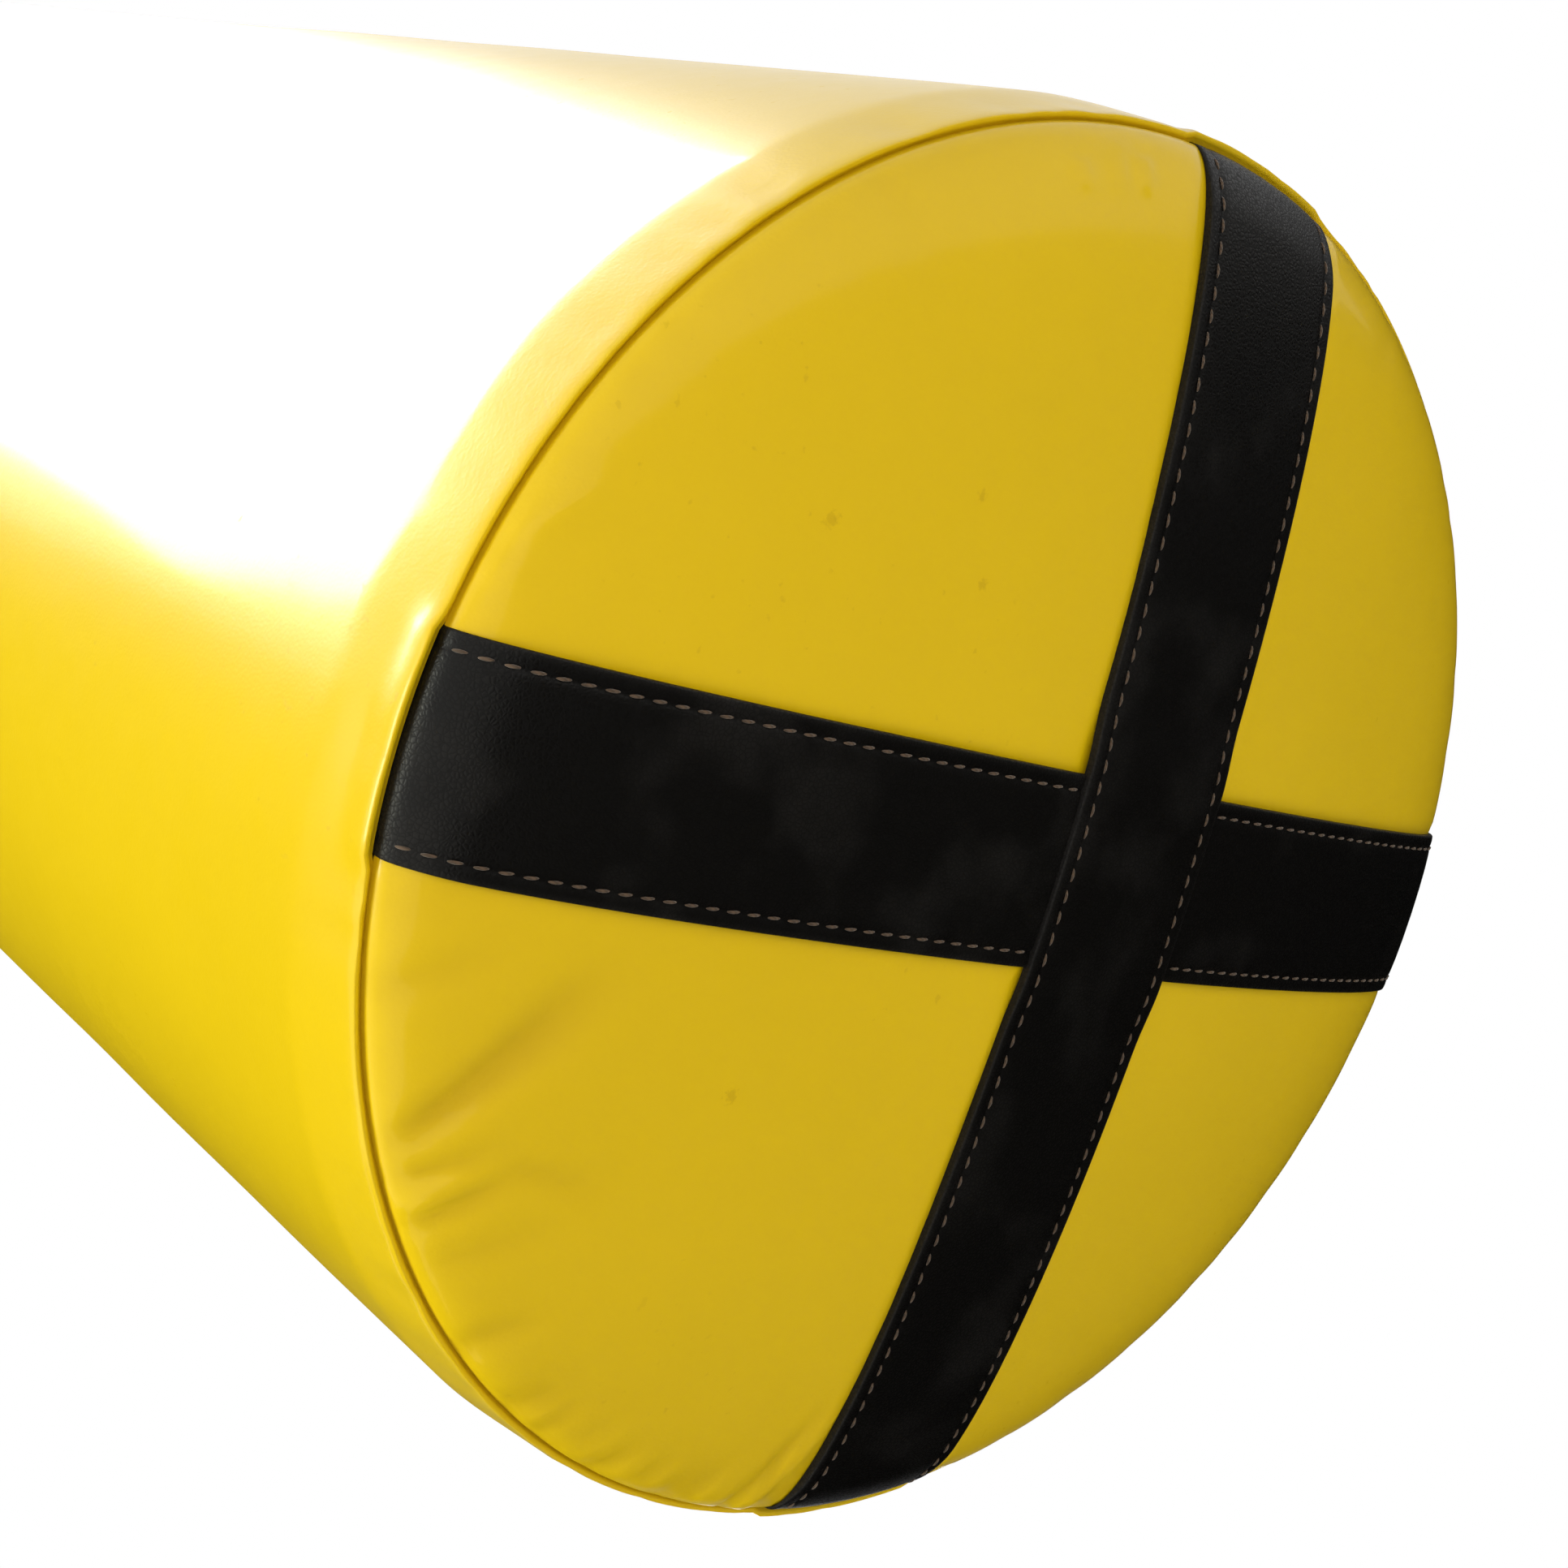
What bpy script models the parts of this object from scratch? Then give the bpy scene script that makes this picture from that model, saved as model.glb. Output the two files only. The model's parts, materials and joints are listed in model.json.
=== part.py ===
"""Hanging punching bag, as its pieces: a stuffed vinyl bag with crossed straps on its closed bottom
and a zip in its top, hung by four chain legs from a ring, a swivel and a snap hook.
Metres, +Z up, origin where the snap hook hangs on its support."""

import math

import bmesh
import bpy
from mathutils import Matrix, Vector

# Clearance between pieces that touch, and facets of a full turn
GAP = 0.0003
TURN_STEPS = 40

# Stuffed bag
BAG_LENGTH = 1.10
BODY_RADIUS = 0.180
SEAM_INSET = 0.005
SHOULDER_HEIGHT = 0.018
SKIN = 0.002
HEM = 0.010
DOME_DEPTH = 0.0273
DOME_POWER = 1.81
DOME_ROOT = 2.05
FOAM_WALL = 0.020
FILL_HEADROOM = 0.010

# Crossed straps on the bottom: width, and how far the middle line lies off the bag's axis
BOTTOM_STRAP_THICKNESS = 0.002
UNDER_STRAP_WIDTH = 0.047
UNDER_STRAP_OFFSET = 0.005
OVER_STRAP_WIDTH = 0.050
OVER_STRAP_OFFSET = 0.0125
STRAP_RAMP = 0.012
STRAP_REACH = 0.997

# Zip across the top
ZIP_MARGIN = 0.035
ZIP_OPENING = 0.016
ZIP_PITCH = 0.0056
TOOTH_LENGTH = 0.0024
TOOTH_REACH = 0.0045
RACK_SPINE = 0.002
TEETH_THICKNESS = 0.0024
TAPE_WIDTH = 0.020
TAPE_THICKNESS = 0.0008
TAPE_TAIL = 0.015
STOP_LENGTH = 0.003
SLIDER_LENGTH = 0.014
SLIDER_WALL = 0.0016
SLIDER_CLEARANCE = 0.0004
SLIDER_END_ROOM = 0.008
PULL_LENGTH = 0.030
PULL_WIDTH = 0.009
PULL_THICKNESS = 0.0016
PULL_FRAME = 0.002
PULL_WINDOW = 0.0075
BRIDGE_WIRE = 0.002

# Black band and four hanging straps with their rings and rivets
BAND_HEIGHT = 0.100
BAND_DROP = 0.020
BAND_THICKNESS = 0.002
HANGER_WIDTH = 0.045
HANGER_THICKNESS = 0.0025
HANGER_LEG = 0.105
HANGER_RISE = 0.035
RIVET_DROPS = (0.045, 0.085)
RIVET_SHANK_RADIUS = 0.0025
RIVET_HEAD_RADIUS = 0.007
RIVET_HEAD_HEIGHT = 0.0025
RIVET_BURR_RADIUS = 0.006
RIVET_BURR_THICKNESS = 0.0012
D_RING_WIRE = 0.006
D_RING_HEIGHT = 0.030
LEG_COUNT = 4
FIRST_LEG_AZIMUTH = 45.0

# Chain legs and the ring that gathers them
LINK_WIRE = 0.005
LINK_INNER_LENGTH = 0.035
LINK_INNER_WIDTH = 0.010
LINK_SEAT = 0.0008
LINKS_PER_LEG = 8
RING_WIRE = 0.008
RING_RADIUS = 0.030
SEAT_MIDDLE = 20.6
SEAT_HALF_STEP = 7.0

# Swivel: an eye whose stem turns in the collar of a yoke
EYE_WIRE = 0.008
EYE_HOLE_RADIUS = 0.009
EYE_COLLAR_RADIUS = 0.009
EYE_COLLAR_HEIGHT = 0.005
STEM_RADIUS = 0.005
STEM_TAIL = 0.002
YOKE_WIRE = 0.008
YOKE_COLLAR_RADIUS = 0.012
YOKE_COLLAR_HEIGHT = 0.010
YOKE_HALF_WIDTH = 0.015
YOKE_CORNER = 0.006
YOKE_FREE_SPACE = 0.006
WASHER_RADIUS = 0.009
WASHER_THICKNESS = 0.002
NUT_RADIUS = 0.009
NUT_HEIGHT = 0.006

# Snap hook
HOOK_WIRE = 0.010
HOOK_INNER_LENGTH = 0.080
HOOK_INNER_WIDTH = 0.034
HOOK_NOSE = 0.001
GATE_RADIUS = 0.0045
GATE_HINGE_RISE = 0.008
GATE_TIP_GAP = 0.0005
TONGUE_THICKNESS = 0.004
TONGUE_END = 0.004
TONGUE_ROOT = 0.007
GATE_PIN_RADIUS = 0.0015

# Worked out from the sizes above
SEAM_RADIUS = BODY_RADIUS - SEAM_INSET
ZIP_LENGTH = 2 * (SEAM_RADIUS - ZIP_MARGIN)
SLIDER_REST = (ZIP_LENGTH - SLIDER_LENGTH) / 2 - SLIDER_END_ROOM
HOOK_BEND = (HOOK_INNER_WIDTH + HOOK_WIRE) / 2
HOOK_TOP_CENTRE = HOOK_WIRE / 2 - HOOK_BEND
HOOK_BOTTOM_WIRE = -HOOK_INNER_LENGTH - HOOK_WIRE / 2
HOOK_BOTTOM_CENTRE = HOOK_BOTTOM_WIRE + HOOK_BEND
GATE_HINGE = Vector((0, HOOK_BEND, HOOK_BOTTOM_CENTRE + GATE_HINGE_RISE))
NOSE_END = HOOK_TOP_CENTRE - HOOK_NOSE
GATE_TIP = NOSE_END - GATE_TIP_GAP
SIDE_SWING = Vector((0, 0, HOOK_BOTTOM_WIRE))
EYE_CENTRE = -HOOK_INNER_LENGTH + GAP - EYE_HOLE_RADIUS
EYE_LOOP_RADIUS = EYE_HOLE_RADIUS + EYE_WIRE / 2
EYE_COLLAR_TOP = EYE_CENTRE - EYE_LOOP_RADIUS
YOKE_TOP = EYE_COLLAR_TOP - EYE_COLLAR_HEIGHT - GAP
YOKE_MIDDLE = YOKE_TOP - YOKE_COLLAR_HEIGHT / 2
WASHER_TOP = YOKE_TOP - YOKE_COLLAR_HEIGHT - GAP
NUT_TOP = WASHER_TOP - WASHER_THICKNESS - GAP
STEM_END = NUT_TOP - NUT_HEIGHT - STEM_TAIL
RING_TOP_WIRE = STEM_END - YOKE_FREE_SPACE - RING_WIRE / 2
YOKE_BOTTOM_WIRE = RING_TOP_WIRE - RING_WIRE / 2 - GAP - YOKE_WIRE / 2
FRONT_SWING = Vector((0, 0, RING_TOP_WIRE))
RING_CENTRE = Vector((0, 0, RING_TOP_WIRE - RING_RADIUS))
BAND_RADIUS = BODY_RADIUS + GAP + BAND_THICKNESS
HANGER_INNER = BAND_RADIUS + GAP + HANGER_THICKNESS / 2
HANGER_OUTER = HANGER_INNER + HANGER_THICKNESS + GAP
HANGER_MIDDLE = (HANGER_INNER + HANGER_OUTER) / 2
HANGER_LOOP = D_RING_WIRE / 2 + GAP + HANGER_THICKNESS / 2


def leg_azimuth(leg):
    return math.radians(FIRST_LEG_AZIMUTH + leg * 360 / LEG_COUNT)


def ring_seat(leg):
    """Where a leg's top link sits on the ring, as an angle from the ring's lowest point."""
    side = 1 if math.cos(leg_azimuth(leg)) > 0 else -1
    step = SEAT_HALF_STEP if leg % 2 == 0 else -SEAT_HALF_STEP
    return math.radians(side * (SEAT_MIDDLE + step))


def ring_seat_point(leg):
    seat = ring_seat(leg)
    return RING_CENTRE + RING_RADIUS * Vector((math.sin(seat), 0, -math.cos(seat)))


# Lengths along a taut leg, from the ring's wire to the bar of the D-ring
LINK_STEP = LINK_INNER_LENGTH + LINK_SEAT
LINK_OVERALL = LINK_INNER_LENGTH + LINK_WIRE
TOP_SEAT = (RING_WIRE + LINK_WIRE) / 2 + GAP
LOW_SEAT = (D_RING_WIRE + LINK_WIRE) / 2 + GAP
LEG_REACH = (LINKS_PER_LEG - 1) * LINK_STEP + LINK_OVERALL - TOP_SEAT - LOW_SEAT + D_RING_HEIGHT


def bar_height():
    """Height of the D-rings' bars, which the first leg's length gives."""
    seat = ring_seat_point(0)
    azimuth = leg_azimuth(0)
    flat = Vector((HANGER_MIDDLE * math.cos(azimuth), HANGER_MIDDLE * math.sin(azimuth), seat.z)) - seat
    return seat.z - math.sqrt(LEG_REACH**2 - flat.length_squared)


BAR_Z = bar_height()
TOP_Z = BAR_Z - HANGER_RISE
BASE_Z = TOP_Z - BAG_LENGTH


# Collections, materials and the few ways that the pieces are made

def clear_scene():
    for old in list(bpy.data.objects):
        bpy.data.objects.remove(old, do_unlink=True)


def new_collection(name):
    collection = bpy.data.collections.new(name)
    bpy.context.scene.collection.children.link(collection)
    return collection


def new_material(name, colour, roughness, metallic=0.0):
    material = bpy.data.materials.new(name)
    material.use_nodes = True
    shader = material.node_tree.nodes["Principled BSDF"]
    shader.inputs["Base Color"].default_value = (*colour, 1.0)
    shader.inputs["Roughness"].default_value = roughness
    shader.inputs["Metallic"].default_value = metallic
    return material


clear_scene()
BAG = new_collection("punching_bag")
CUTTERS = new_collection("cutters")
YELLOW_VINYL = new_material("yellow_vinyl", (0.80, 0.60, 0.01), 0.25)
BLACK_LEATHER = new_material("black_leather", (0.010, 0.010, 0.010), 0.35)
BLACK_TAPE = new_material("zip_tape_fabric", (0.015, 0.015, 0.015), 0.85)
ZIP_METAL = new_material("zip_metal", (0.55, 0.53, 0.50), 0.35, 1.0)
CHAIN_STEEL = new_material("chain_steel", (0.60, 0.60, 0.61), 0.25, 1.0)
RIVET_STEEL = new_material("rivet_steel", (0.62, 0.61, 0.60), 0.30, 1.0)
FOAM = new_material("liner_foam", (0.35, 0.36, 0.38), 0.95)
FILL = new_material("textile_fill", (0.30, 0.28, 0.27), 0.98)


def add_object(name, data, material, origin=(0, 0, 0), parent=None):
    """Links data whose points are in world places, and puts the object's own origin at the point given."""
    origin = Vector(origin)
    data.transform(Matrix.Translation(-origin))
    obj = bpy.data.objects.new(name, data)
    BAG.objects.link(obj)
    obj.data.materials.append(material)
    obj.location = origin
    if parent is not None:
        obj.parent = parent
        obj.location = origin - AXES[parent.name]
    return obj


AXES = {}


def add_axis(name, place, parent=None):
    """An empty on a joint's axis, which carries the pieces that turn or slide there."""
    empty = bpy.data.objects.new(name, None)
    BAG.objects.link(empty)
    empty.empty_display_size = 0.02
    AXES[name] = Vector(place)
    empty.location = AXES[name]
    if parent is not None:
        empty.parent = parent
        empty.location = AXES[name] - AXES[parent.name]
    return empty


def as_cutter(obj):
    for collection in list(obj.users_collection):
        collection.objects.unlink(obj)
    CUTTERS.objects.link(obj)
    obj.hide_render = True
    obj.display_type = "WIRE"
    return obj


def combine(obj, other, operation):
    """Cuts or joins by another object, which stays as a hidden helper."""
    modifier = obj.modifiers.new(operation.lower() + "_" + other.name, "BOOLEAN")
    modifier.operation = operation
    modifier.object = other
    return as_cutter(other)


def turned(name, profile, material, origin, parent=None, closed=False, steps=TURN_STEPS):
    """Turns a profile of (radius, height over the origin) points round Z, top to bottom down its outer side."""
    mesh = bpy.data.meshes.new(name)
    ends = [(i, i + 1) for i in range(len(profile) - 1)]
    if closed:
        ends.append((len(profile) - 1, 0))
    points = [(radius, 0, origin[2] + height) for radius, height in profile]
    mesh.from_pydata(points, ends, [])
    obj = add_object(name, mesh, material, origin, parent)
    screw = obj.modifiers.new("turn", "SCREW")
    screw.steps = screw.render_steps = steps
    screw.use_merge_vertices = True
    screw.merge_threshold = 0.00005
    return obj


def cylinder(name, radius, start, end, material, origin=None, parent=None, sides=16):
    """A straight round bar between two points."""
    start = Vector(start)
    end = Vector(end)
    turn = (end - start).to_track_quat("Z", "Y").to_matrix().to_4x4()
    shape = bmesh.new()
    bmesh.ops.create_cone(
        shape,
        cap_ends=True,
        segments=sides,
        radius1=radius,
        radius2=radius,
        depth=(end - start).length,
        matrix=Matrix.Translation((start + end) / 2) @ turn,
    )
    return from_bmesh(name, shape, material, start if origin is None else origin, parent)


def box(name, low, high, material, origin=None, parent=None):
    low = Vector(low)
    high = Vector(high)
    shape = bmesh.new()
    size = Matrix.Diagonal((*(high - low), 1))
    bmesh.ops.create_cube(shape, size=1, matrix=Matrix.Translation((low + high) / 2) @ size)
    return from_bmesh(name, shape, material, (low + high) / 2 if origin is None else origin, parent)


def from_bmesh(name, shape, material, origin, parent=None):
    mesh = bpy.data.meshes.new(name)
    shape.to_mesh(mesh)
    shape.free()
    obj = add_object(name, mesh, material, origin, parent)
    mesh.shade_smooth()
    mesh.set_sharp_from_angle(angle=math.radians(40))
    return obj


def wire(name, loops, diameter, material, origin=(0, 0, 0), parent=None, closed=True, resolution=1):
    """Round wire along one or more lists of points, as a mesh with its caps welded."""
    curve = bpy.data.curves.new(name, "CURVE")
    curve.dimensions = "3D"
    curve.bevel_depth = diameter / 2
    curve.bevel_resolution = resolution
    curve.use_fill_caps = not closed
    for points in loops:
        spline = curve.splines.new("POLY")
        spline.points.add(len(points) - 1)
        for point, place in zip(spline.points, points):
            point.co = (*place, 1)
        spline.use_cyclic_u = closed
    guide = bpy.data.objects.new(name + "_route", curve)
    BAG.objects.link(guide)
    bpy.context.view_layer.update()
    graph = bpy.context.evaluated_depsgraph_get()
    mesh = bpy.data.meshes.new_from_object(guide.evaluated_get(graph))
    bpy.data.objects.remove(guide, do_unlink=True)
    shape = bmesh.new()
    shape.from_mesh(mesh)
    bmesh.ops.remove_doubles(shape, verts=shape.verts, dist=0.00002)
    bmesh.ops.recalc_face_normals(shape, faces=shape.faces)
    mesh.clear_geometry()
    mesh.materials.clear()
    bpy.data.meshes.remove(mesh)
    return from_bmesh(name, shape, material, origin, parent)


def strip(name, rows, columns, place, outward, thickness, offset, material, origin, parent=None):
    """A bent strip: place(row, column) puts each point of a grid, and Solidify gives the thickness."""
    shape = bmesh.new()
    bmesh.ops.create_grid(shape, x_segments=rows, y_segments=columns, size=1)
    for vert in shape.verts:
        row = round((vert.co.x + 1) / 2 * rows)
        column = round((vert.co.y + 1) / 2 * columns)
        vert.co = place(row, column)
    shape.normal_update()
    shape.faces.ensure_lookup_table()
    face = shape.faces[0]
    if face.normal.dot(outward(face.calc_center_median())) < 0:
        bmesh.ops.reverse_faces(shape, faces=shape.faces)
    obj = from_bmesh(name, shape, material, origin, parent)
    solid = obj.modifiers.new("thickness", "SOLIDIFY")
    solid.thickness = thickness
    solid.offset = offset
    return obj


def arc(centre, radius, start, end, steps):
    """Points of an arc in a plane, with its angles in degrees."""
    angles = [math.radians(start + (end - start) * i / steps) for i in range(steps + 1)]
    return [(centre[0] + radius * math.cos(a), centre[1] + radius * math.sin(a)) for a in angles]


def smooth_step(value):
    value = min(1.0, max(0.0, value))
    return value * value * (3 - 2 * value)


# The bag's skin. Heights in these sections count from the bottom seam, at BASE_Z.

def dome_height(radius):
    """Depth of the stuffed bottom below the seam, at a distance from the axis."""
    share = min(1.0, radius / SEAM_RADIUS)
    return DOME_DEPTH * (1 - share**DOME_POWER) ** (1 / DOME_ROOT)


def dome_point(radius, offset):
    """(radius, height) of the bottom's outer face, moved out along its normal."""
    step = SEAM_RADIUS * 0.0005
    low = max(0.0, radius - step)
    slope = (dome_height(low) - dome_height(low + 2 * step)) / (2 * step) if radius > step else 0.0
    length = math.hypot(slope, 1)
    return radius + offset * slope / length, -dome_height(radius) - offset / length


def shoulder(radius, inset, height, steps):
    """A quarter of an oval, from the wall to the seam."""
    angles = [math.pi / 2 * i / steps for i in range(steps + 1)]
    return [(radius - inset * (1 - math.cos(a)), height * math.sin(a)) for a in angles]


def body_shell(parent):
    curve = shoulder(BODY_RADIUS, SEAM_INSET, SHOULDER_HEIGHT, 4)
    top = [(radius, BAG_LENGTH - SHOULDER_HEIGHT + height) for radius, height in reversed(curve)]
    bottom = [(radius, SHOULDER_HEIGHT - height) for radius, height in curve]
    inner = BODY_RADIUS - SKIN
    hems = [
        (SEAM_RADIUS, HEM),
        (inner, HEM + SKIN),
        (inner, BAG_LENGTH - HEM - SKIN),
        (SEAM_RADIUS, BAG_LENGTH - HEM),
    ]
    return turned("body_shell", top + bottom + hems, YELLOW_VINYL, (0, 0, BASE_Z), parent, closed=True)


def panel_radii():
    edge = SEAM_RADIUS - GAP
    return [edge * math.sin(math.pi / 2 * i / 9) for i in range(10)]


def panel_inside():
    """The bottom panel's inner face, which the stuffing rests on."""
    return [(0.0, SKIN - DOME_DEPTH)] + [dome_point(radius, -SKIN) for radius in panel_radii()[2:-1]]


def bottom_panel(parent):
    edge = SEAM_RADIUS - GAP
    outside = [(radius, -dome_height(radius / edge * SEAM_RADIUS)) for radius in panel_radii()]
    inside = panel_inside()
    turned_up = [(edge - SKIN, -SKIN), (edge - SKIN, HEM), (edge, HEM)]
    profile = inside + turned_up + list(reversed(outside))
    return turned("bottom_panel", profile, YELLOW_VINYL, (0, 0, BASE_Z), parent)


def strap_stations(half_count, crossing):
    """Shares of the half length, closer together at the ends, with steps at a crossing's ramps."""
    shares = [math.sin(math.pi / 2 * i / half_count) for i in range(-half_count, half_count + 1)]
    for edge, side in crossing:
        shares = [share for share in shares if abs(share - edge) > 0.03]
        shares += [edge + side * 0.012, edge + side * (0.012 + STRAP_RAMP / SEAM_RADIUS)]
    return sorted(shares)


def bottom_strap(name, width, offset, turn, crossed, parent):
    """A flat strap over the domed bottom. Its ends are cut round, where the seam holds them."""
    reach = SEAM_RADIUS * STRAP_REACH
    columns = 4
    ramps = []
    if crossed:
        ramps = [
            ((UNDER_STRAP_OFFSET + UNDER_STRAP_WIDTH / 2) / SEAM_RADIUS, 1),
            ((UNDER_STRAP_OFFSET - UNDER_STRAP_WIDTH / 2) / SEAM_RADIUS, -1),
        ]
    stations = strap_stations(12, ramps)

    def lift(along):
        if not crossed:
            return 0.0
        outside = abs(along - UNDER_STRAP_OFFSET) - UNDER_STRAP_WIDTH / 2 - 0.002
        return (BOTTOM_STRAP_THICKNESS + GAP) * (1 - smooth_step(outside / STRAP_RAMP))

    def place(row, column):
        across = offset + width * (column / columns - 0.5)
        along = stations[row] * math.sqrt(reach**2 - across**2)
        radius = math.hypot(along, across)
        out, height = dome_point(radius, GAP + lift(along))
        scale = out / radius if radius > 0 else 1.0
        point = Vector((along * scale, across * scale, BASE_Z + height))
        return Matrix.Rotation(turn, 4, "Z") @ point

    return strip(
        name, len(stations) - 1, columns, place, lambda centre: Vector((0, 0, -1)),
        BOTTOM_STRAP_THICKNESS, 1.0, BLACK_LEATHER, (0, 0, BASE_Z), parent,
    )


def top_panel(parent):
    edge = SEAM_RADIUS - GAP
    profile = [
        (0, BAG_LENGTH),
        (edge, BAG_LENGTH),
        (edge, BAG_LENGTH - HEM),
        (edge - SKIN, BAG_LENGTH - HEM),
        (edge - SKIN, BAG_LENGTH - SKIN),
        (0, BAG_LENGTH - SKIN),
    ]
    panel = turned("top_panel", profile, YELLOW_VINYL, (0, 0, BASE_Z), parent)
    half = Vector((ZIP_LENGTH / 2 + STOP_LENGTH + 2 * GAP, ZIP_OPENING / 2, 2 * SKIN))
    centre = Vector((0, 0, TOP_Z))
    combine(panel, box("zip_slot", centre - half, centre + half, YELLOW_VINYL), "DIFFERENCE")
    return panel


def stuffing(parent):
    inner = BODY_RADIUS - SKIN - GAP
    low = SHOULDER_HEIGHT + SKIN
    high = BAG_LENGTH - max(RIVET_DROPS) - RIVET_HEAD_RADIUS - 4 * SKIN
    profile = [(inner, high), (inner, low), (inner - FOAM_WALL, low), (inner - FOAM_WALL, high)]
    turned("foam_liner", profile, FOAM, (0, 0, BASE_Z), parent, closed=True)
    reach = inner - FOAM_WALL - GAP
    top = BAG_LENGTH - SKIN - FILL_HEADROOM
    rest = panel_inside()
    last = next(i for i, (radius, height) in enumerate(rest) if radius > reach)
    (near, near_height), (far, far_height) = rest[last - 1], rest[last]
    edge_height = near_height + (far_height - near_height) * (reach - near) / (far - near)
    floor = [(radius, height + GAP) for radius, height in rest[:last] + [(reach, edge_height)]]
    profile = [(0, top), (reach, top)] + list(reversed(floor))
    turned("textile_fill", profile, FILL, (0, 0, BASE_Z), parent)


# The zip. Its teeth are two racks that mesh, and the slider straddles both.

TEETH_LOW = TOP_Z - SKIN
TEETH_HIGH = TEETH_LOW + TEETH_THICKNESS
TAPE_HIGH = TEETH_LOW - GAP
RACK_HALF = TOOTH_REACH


def zip_tape(name, side, parent):
    reach = ZIP_LENGTH / 2 + TAPE_TAIL
    near = RACK_HALF - RACK_SPINE - GAP
    sides = sorted((side * near, side * (near + TAPE_WIDTH)))
    low = (-reach, sides[0], TAPE_HIGH - TAPE_THICKNESS)
    high = (reach, sides[1], TAPE_HIGH)
    return box(name, low, high, BLACK_TAPE, (0, side * near, TAPE_HIGH), parent)


def flat_outline(name, loops, low, thickness, material, origin, parent):
    """Closed outlines in the XY plane, the later ones holes, made into a plate of a thickness."""
    curve = bpy.data.curves.new(name, "CURVE")
    curve.dimensions = "2D"
    curve.fill_mode = "BOTH"
    curve.extrude = thickness / 2
    for points in loops:
        spline = curve.splines.new("POLY")
        spline.points.add(len(points) - 1)
        for point, (x, y) in zip(spline.points, points):
            point.co = (x, y, 0, 1)
        spline.use_cyclic_u = True
    guide = bpy.data.objects.new(name + "_outline", curve)
    BAG.objects.link(guide)
    guide.location.z = low + thickness / 2
    bpy.context.view_layer.update()
    graph = bpy.context.evaluated_depsgraph_get()
    mesh = bpy.data.meshes.new_from_object(guide.evaluated_get(graph))
    mesh.transform(guide.matrix_world)
    bpy.data.objects.remove(guide, do_unlink=True)
    shape = bmesh.new()
    shape.from_mesh(mesh)
    bpy.data.meshes.remove(mesh)
    bmesh.ops.remove_doubles(shape, verts=shape.verts, dist=0.00001)
    bmesh.ops.recalc_face_normals(shape, faces=shape.faces)
    return from_bmesh(name, shape, material, origin, parent)


def zip_rack(name, side, parent):
    """A spine with teeth towards the middle. The other side's teeth stand in its spaces."""
    count = math.floor(ZIP_LENGTH / ZIP_PITCH + 0.001)
    spine = RACK_HALF - RACK_SPINE
    tip = -(spine - 2 * GAP)
    shift = 0.0 if side > 0 else ZIP_PITCH / 2
    start = -ZIP_LENGTH / 2
    outline = [(start, RACK_HALF), (start, spine)]
    for tooth in range(count):
        left = start + tooth * ZIP_PITCH + shift + (ZIP_PITCH / 2 - TOOTH_LENGTH) / 2
        right = left + TOOTH_LENGTH
        outline += [(left, spine), (left, tip), (right, tip), (right, spine)]
    outline += [(-start, spine), (-start, RACK_HALF)]
    outline = [(x, side * y) for x, y in outline]
    return flat_outline(name, [outline], TEETH_LOW, TEETH_THICKNESS, ZIP_METAL, (0, 0, TEETH_LOW), parent)


def zip_stop(name, end, parent):
    near = ZIP_LENGTH / 2 + GAP
    ends = sorted((end * near, end * (near + STOP_LENGTH)))
    low = (ends[0], -RACK_HALF, TEETH_LOW)
    high = (ends[1], RACK_HALF, TEETH_HIGH)
    return box(name, low, high, ZIP_METAL, None, parent)


def zip_slider(parent):
    """A saddle over both racks, with a bridge of wire that holds the pull."""
    inner = RACK_HALF + SLIDER_CLEARANCE
    outer = inner + SLIDER_WALL
    top = TEETH_HIGH + SLIDER_CLEARANCE + SLIDER_WALL
    low = (SLIDER_REST - SLIDER_LENGTH / 2, -outer, TAPE_HIGH + SLIDER_CLEARANCE)
    high = (SLIDER_REST + SLIDER_LENGTH / 2, outer, top)
    slider = box("zip_slider", low, high, ZIP_METAL, AXES[parent.name], parent)
    tunnel_low = (low[0] - SLIDER_LENGTH, -inner, low[2] - SKIN)
    tunnel_high = (high[0] + SLIDER_LENGTH, inner, TEETH_HIGH + SLIDER_CLEARANCE)
    combine(slider, box("slider_tunnel", tunnel_low, tunnel_high, ZIP_METAL), "DIFFERENCE")
    half = SLIDER_LENGTH / 2 - BRIDGE_WIRE
    foot = top - SLIDER_WALL / 2
    crown = PULL_AXIS_Z + PULL_BAR_TURN + GAP + BRIDGE_WIRE / 2
    points = [(-half, foot), (-half, crown - BRIDGE_WIRE), (-half + BRIDGE_WIRE, crown)]
    points += [(-x, z) for x, z in reversed(points)]
    route = [(SLIDER_REST + x, 0, z) for x, z in points]
    bridge = wire("slider_bridge", [route], BRIDGE_WIRE, ZIP_METAL, closed=False)
    combine(slider, bridge, "UNION")
    return slider


PULL_BAR_TURN = math.hypot(PULL_THICKNESS / 2, PULL_FRAME / 2)
PULL_AXIS_Z = TEETH_HIGH + SLIDER_CLEARANCE + SLIDER_WALL + GAP + PULL_BAR_TURN


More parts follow.
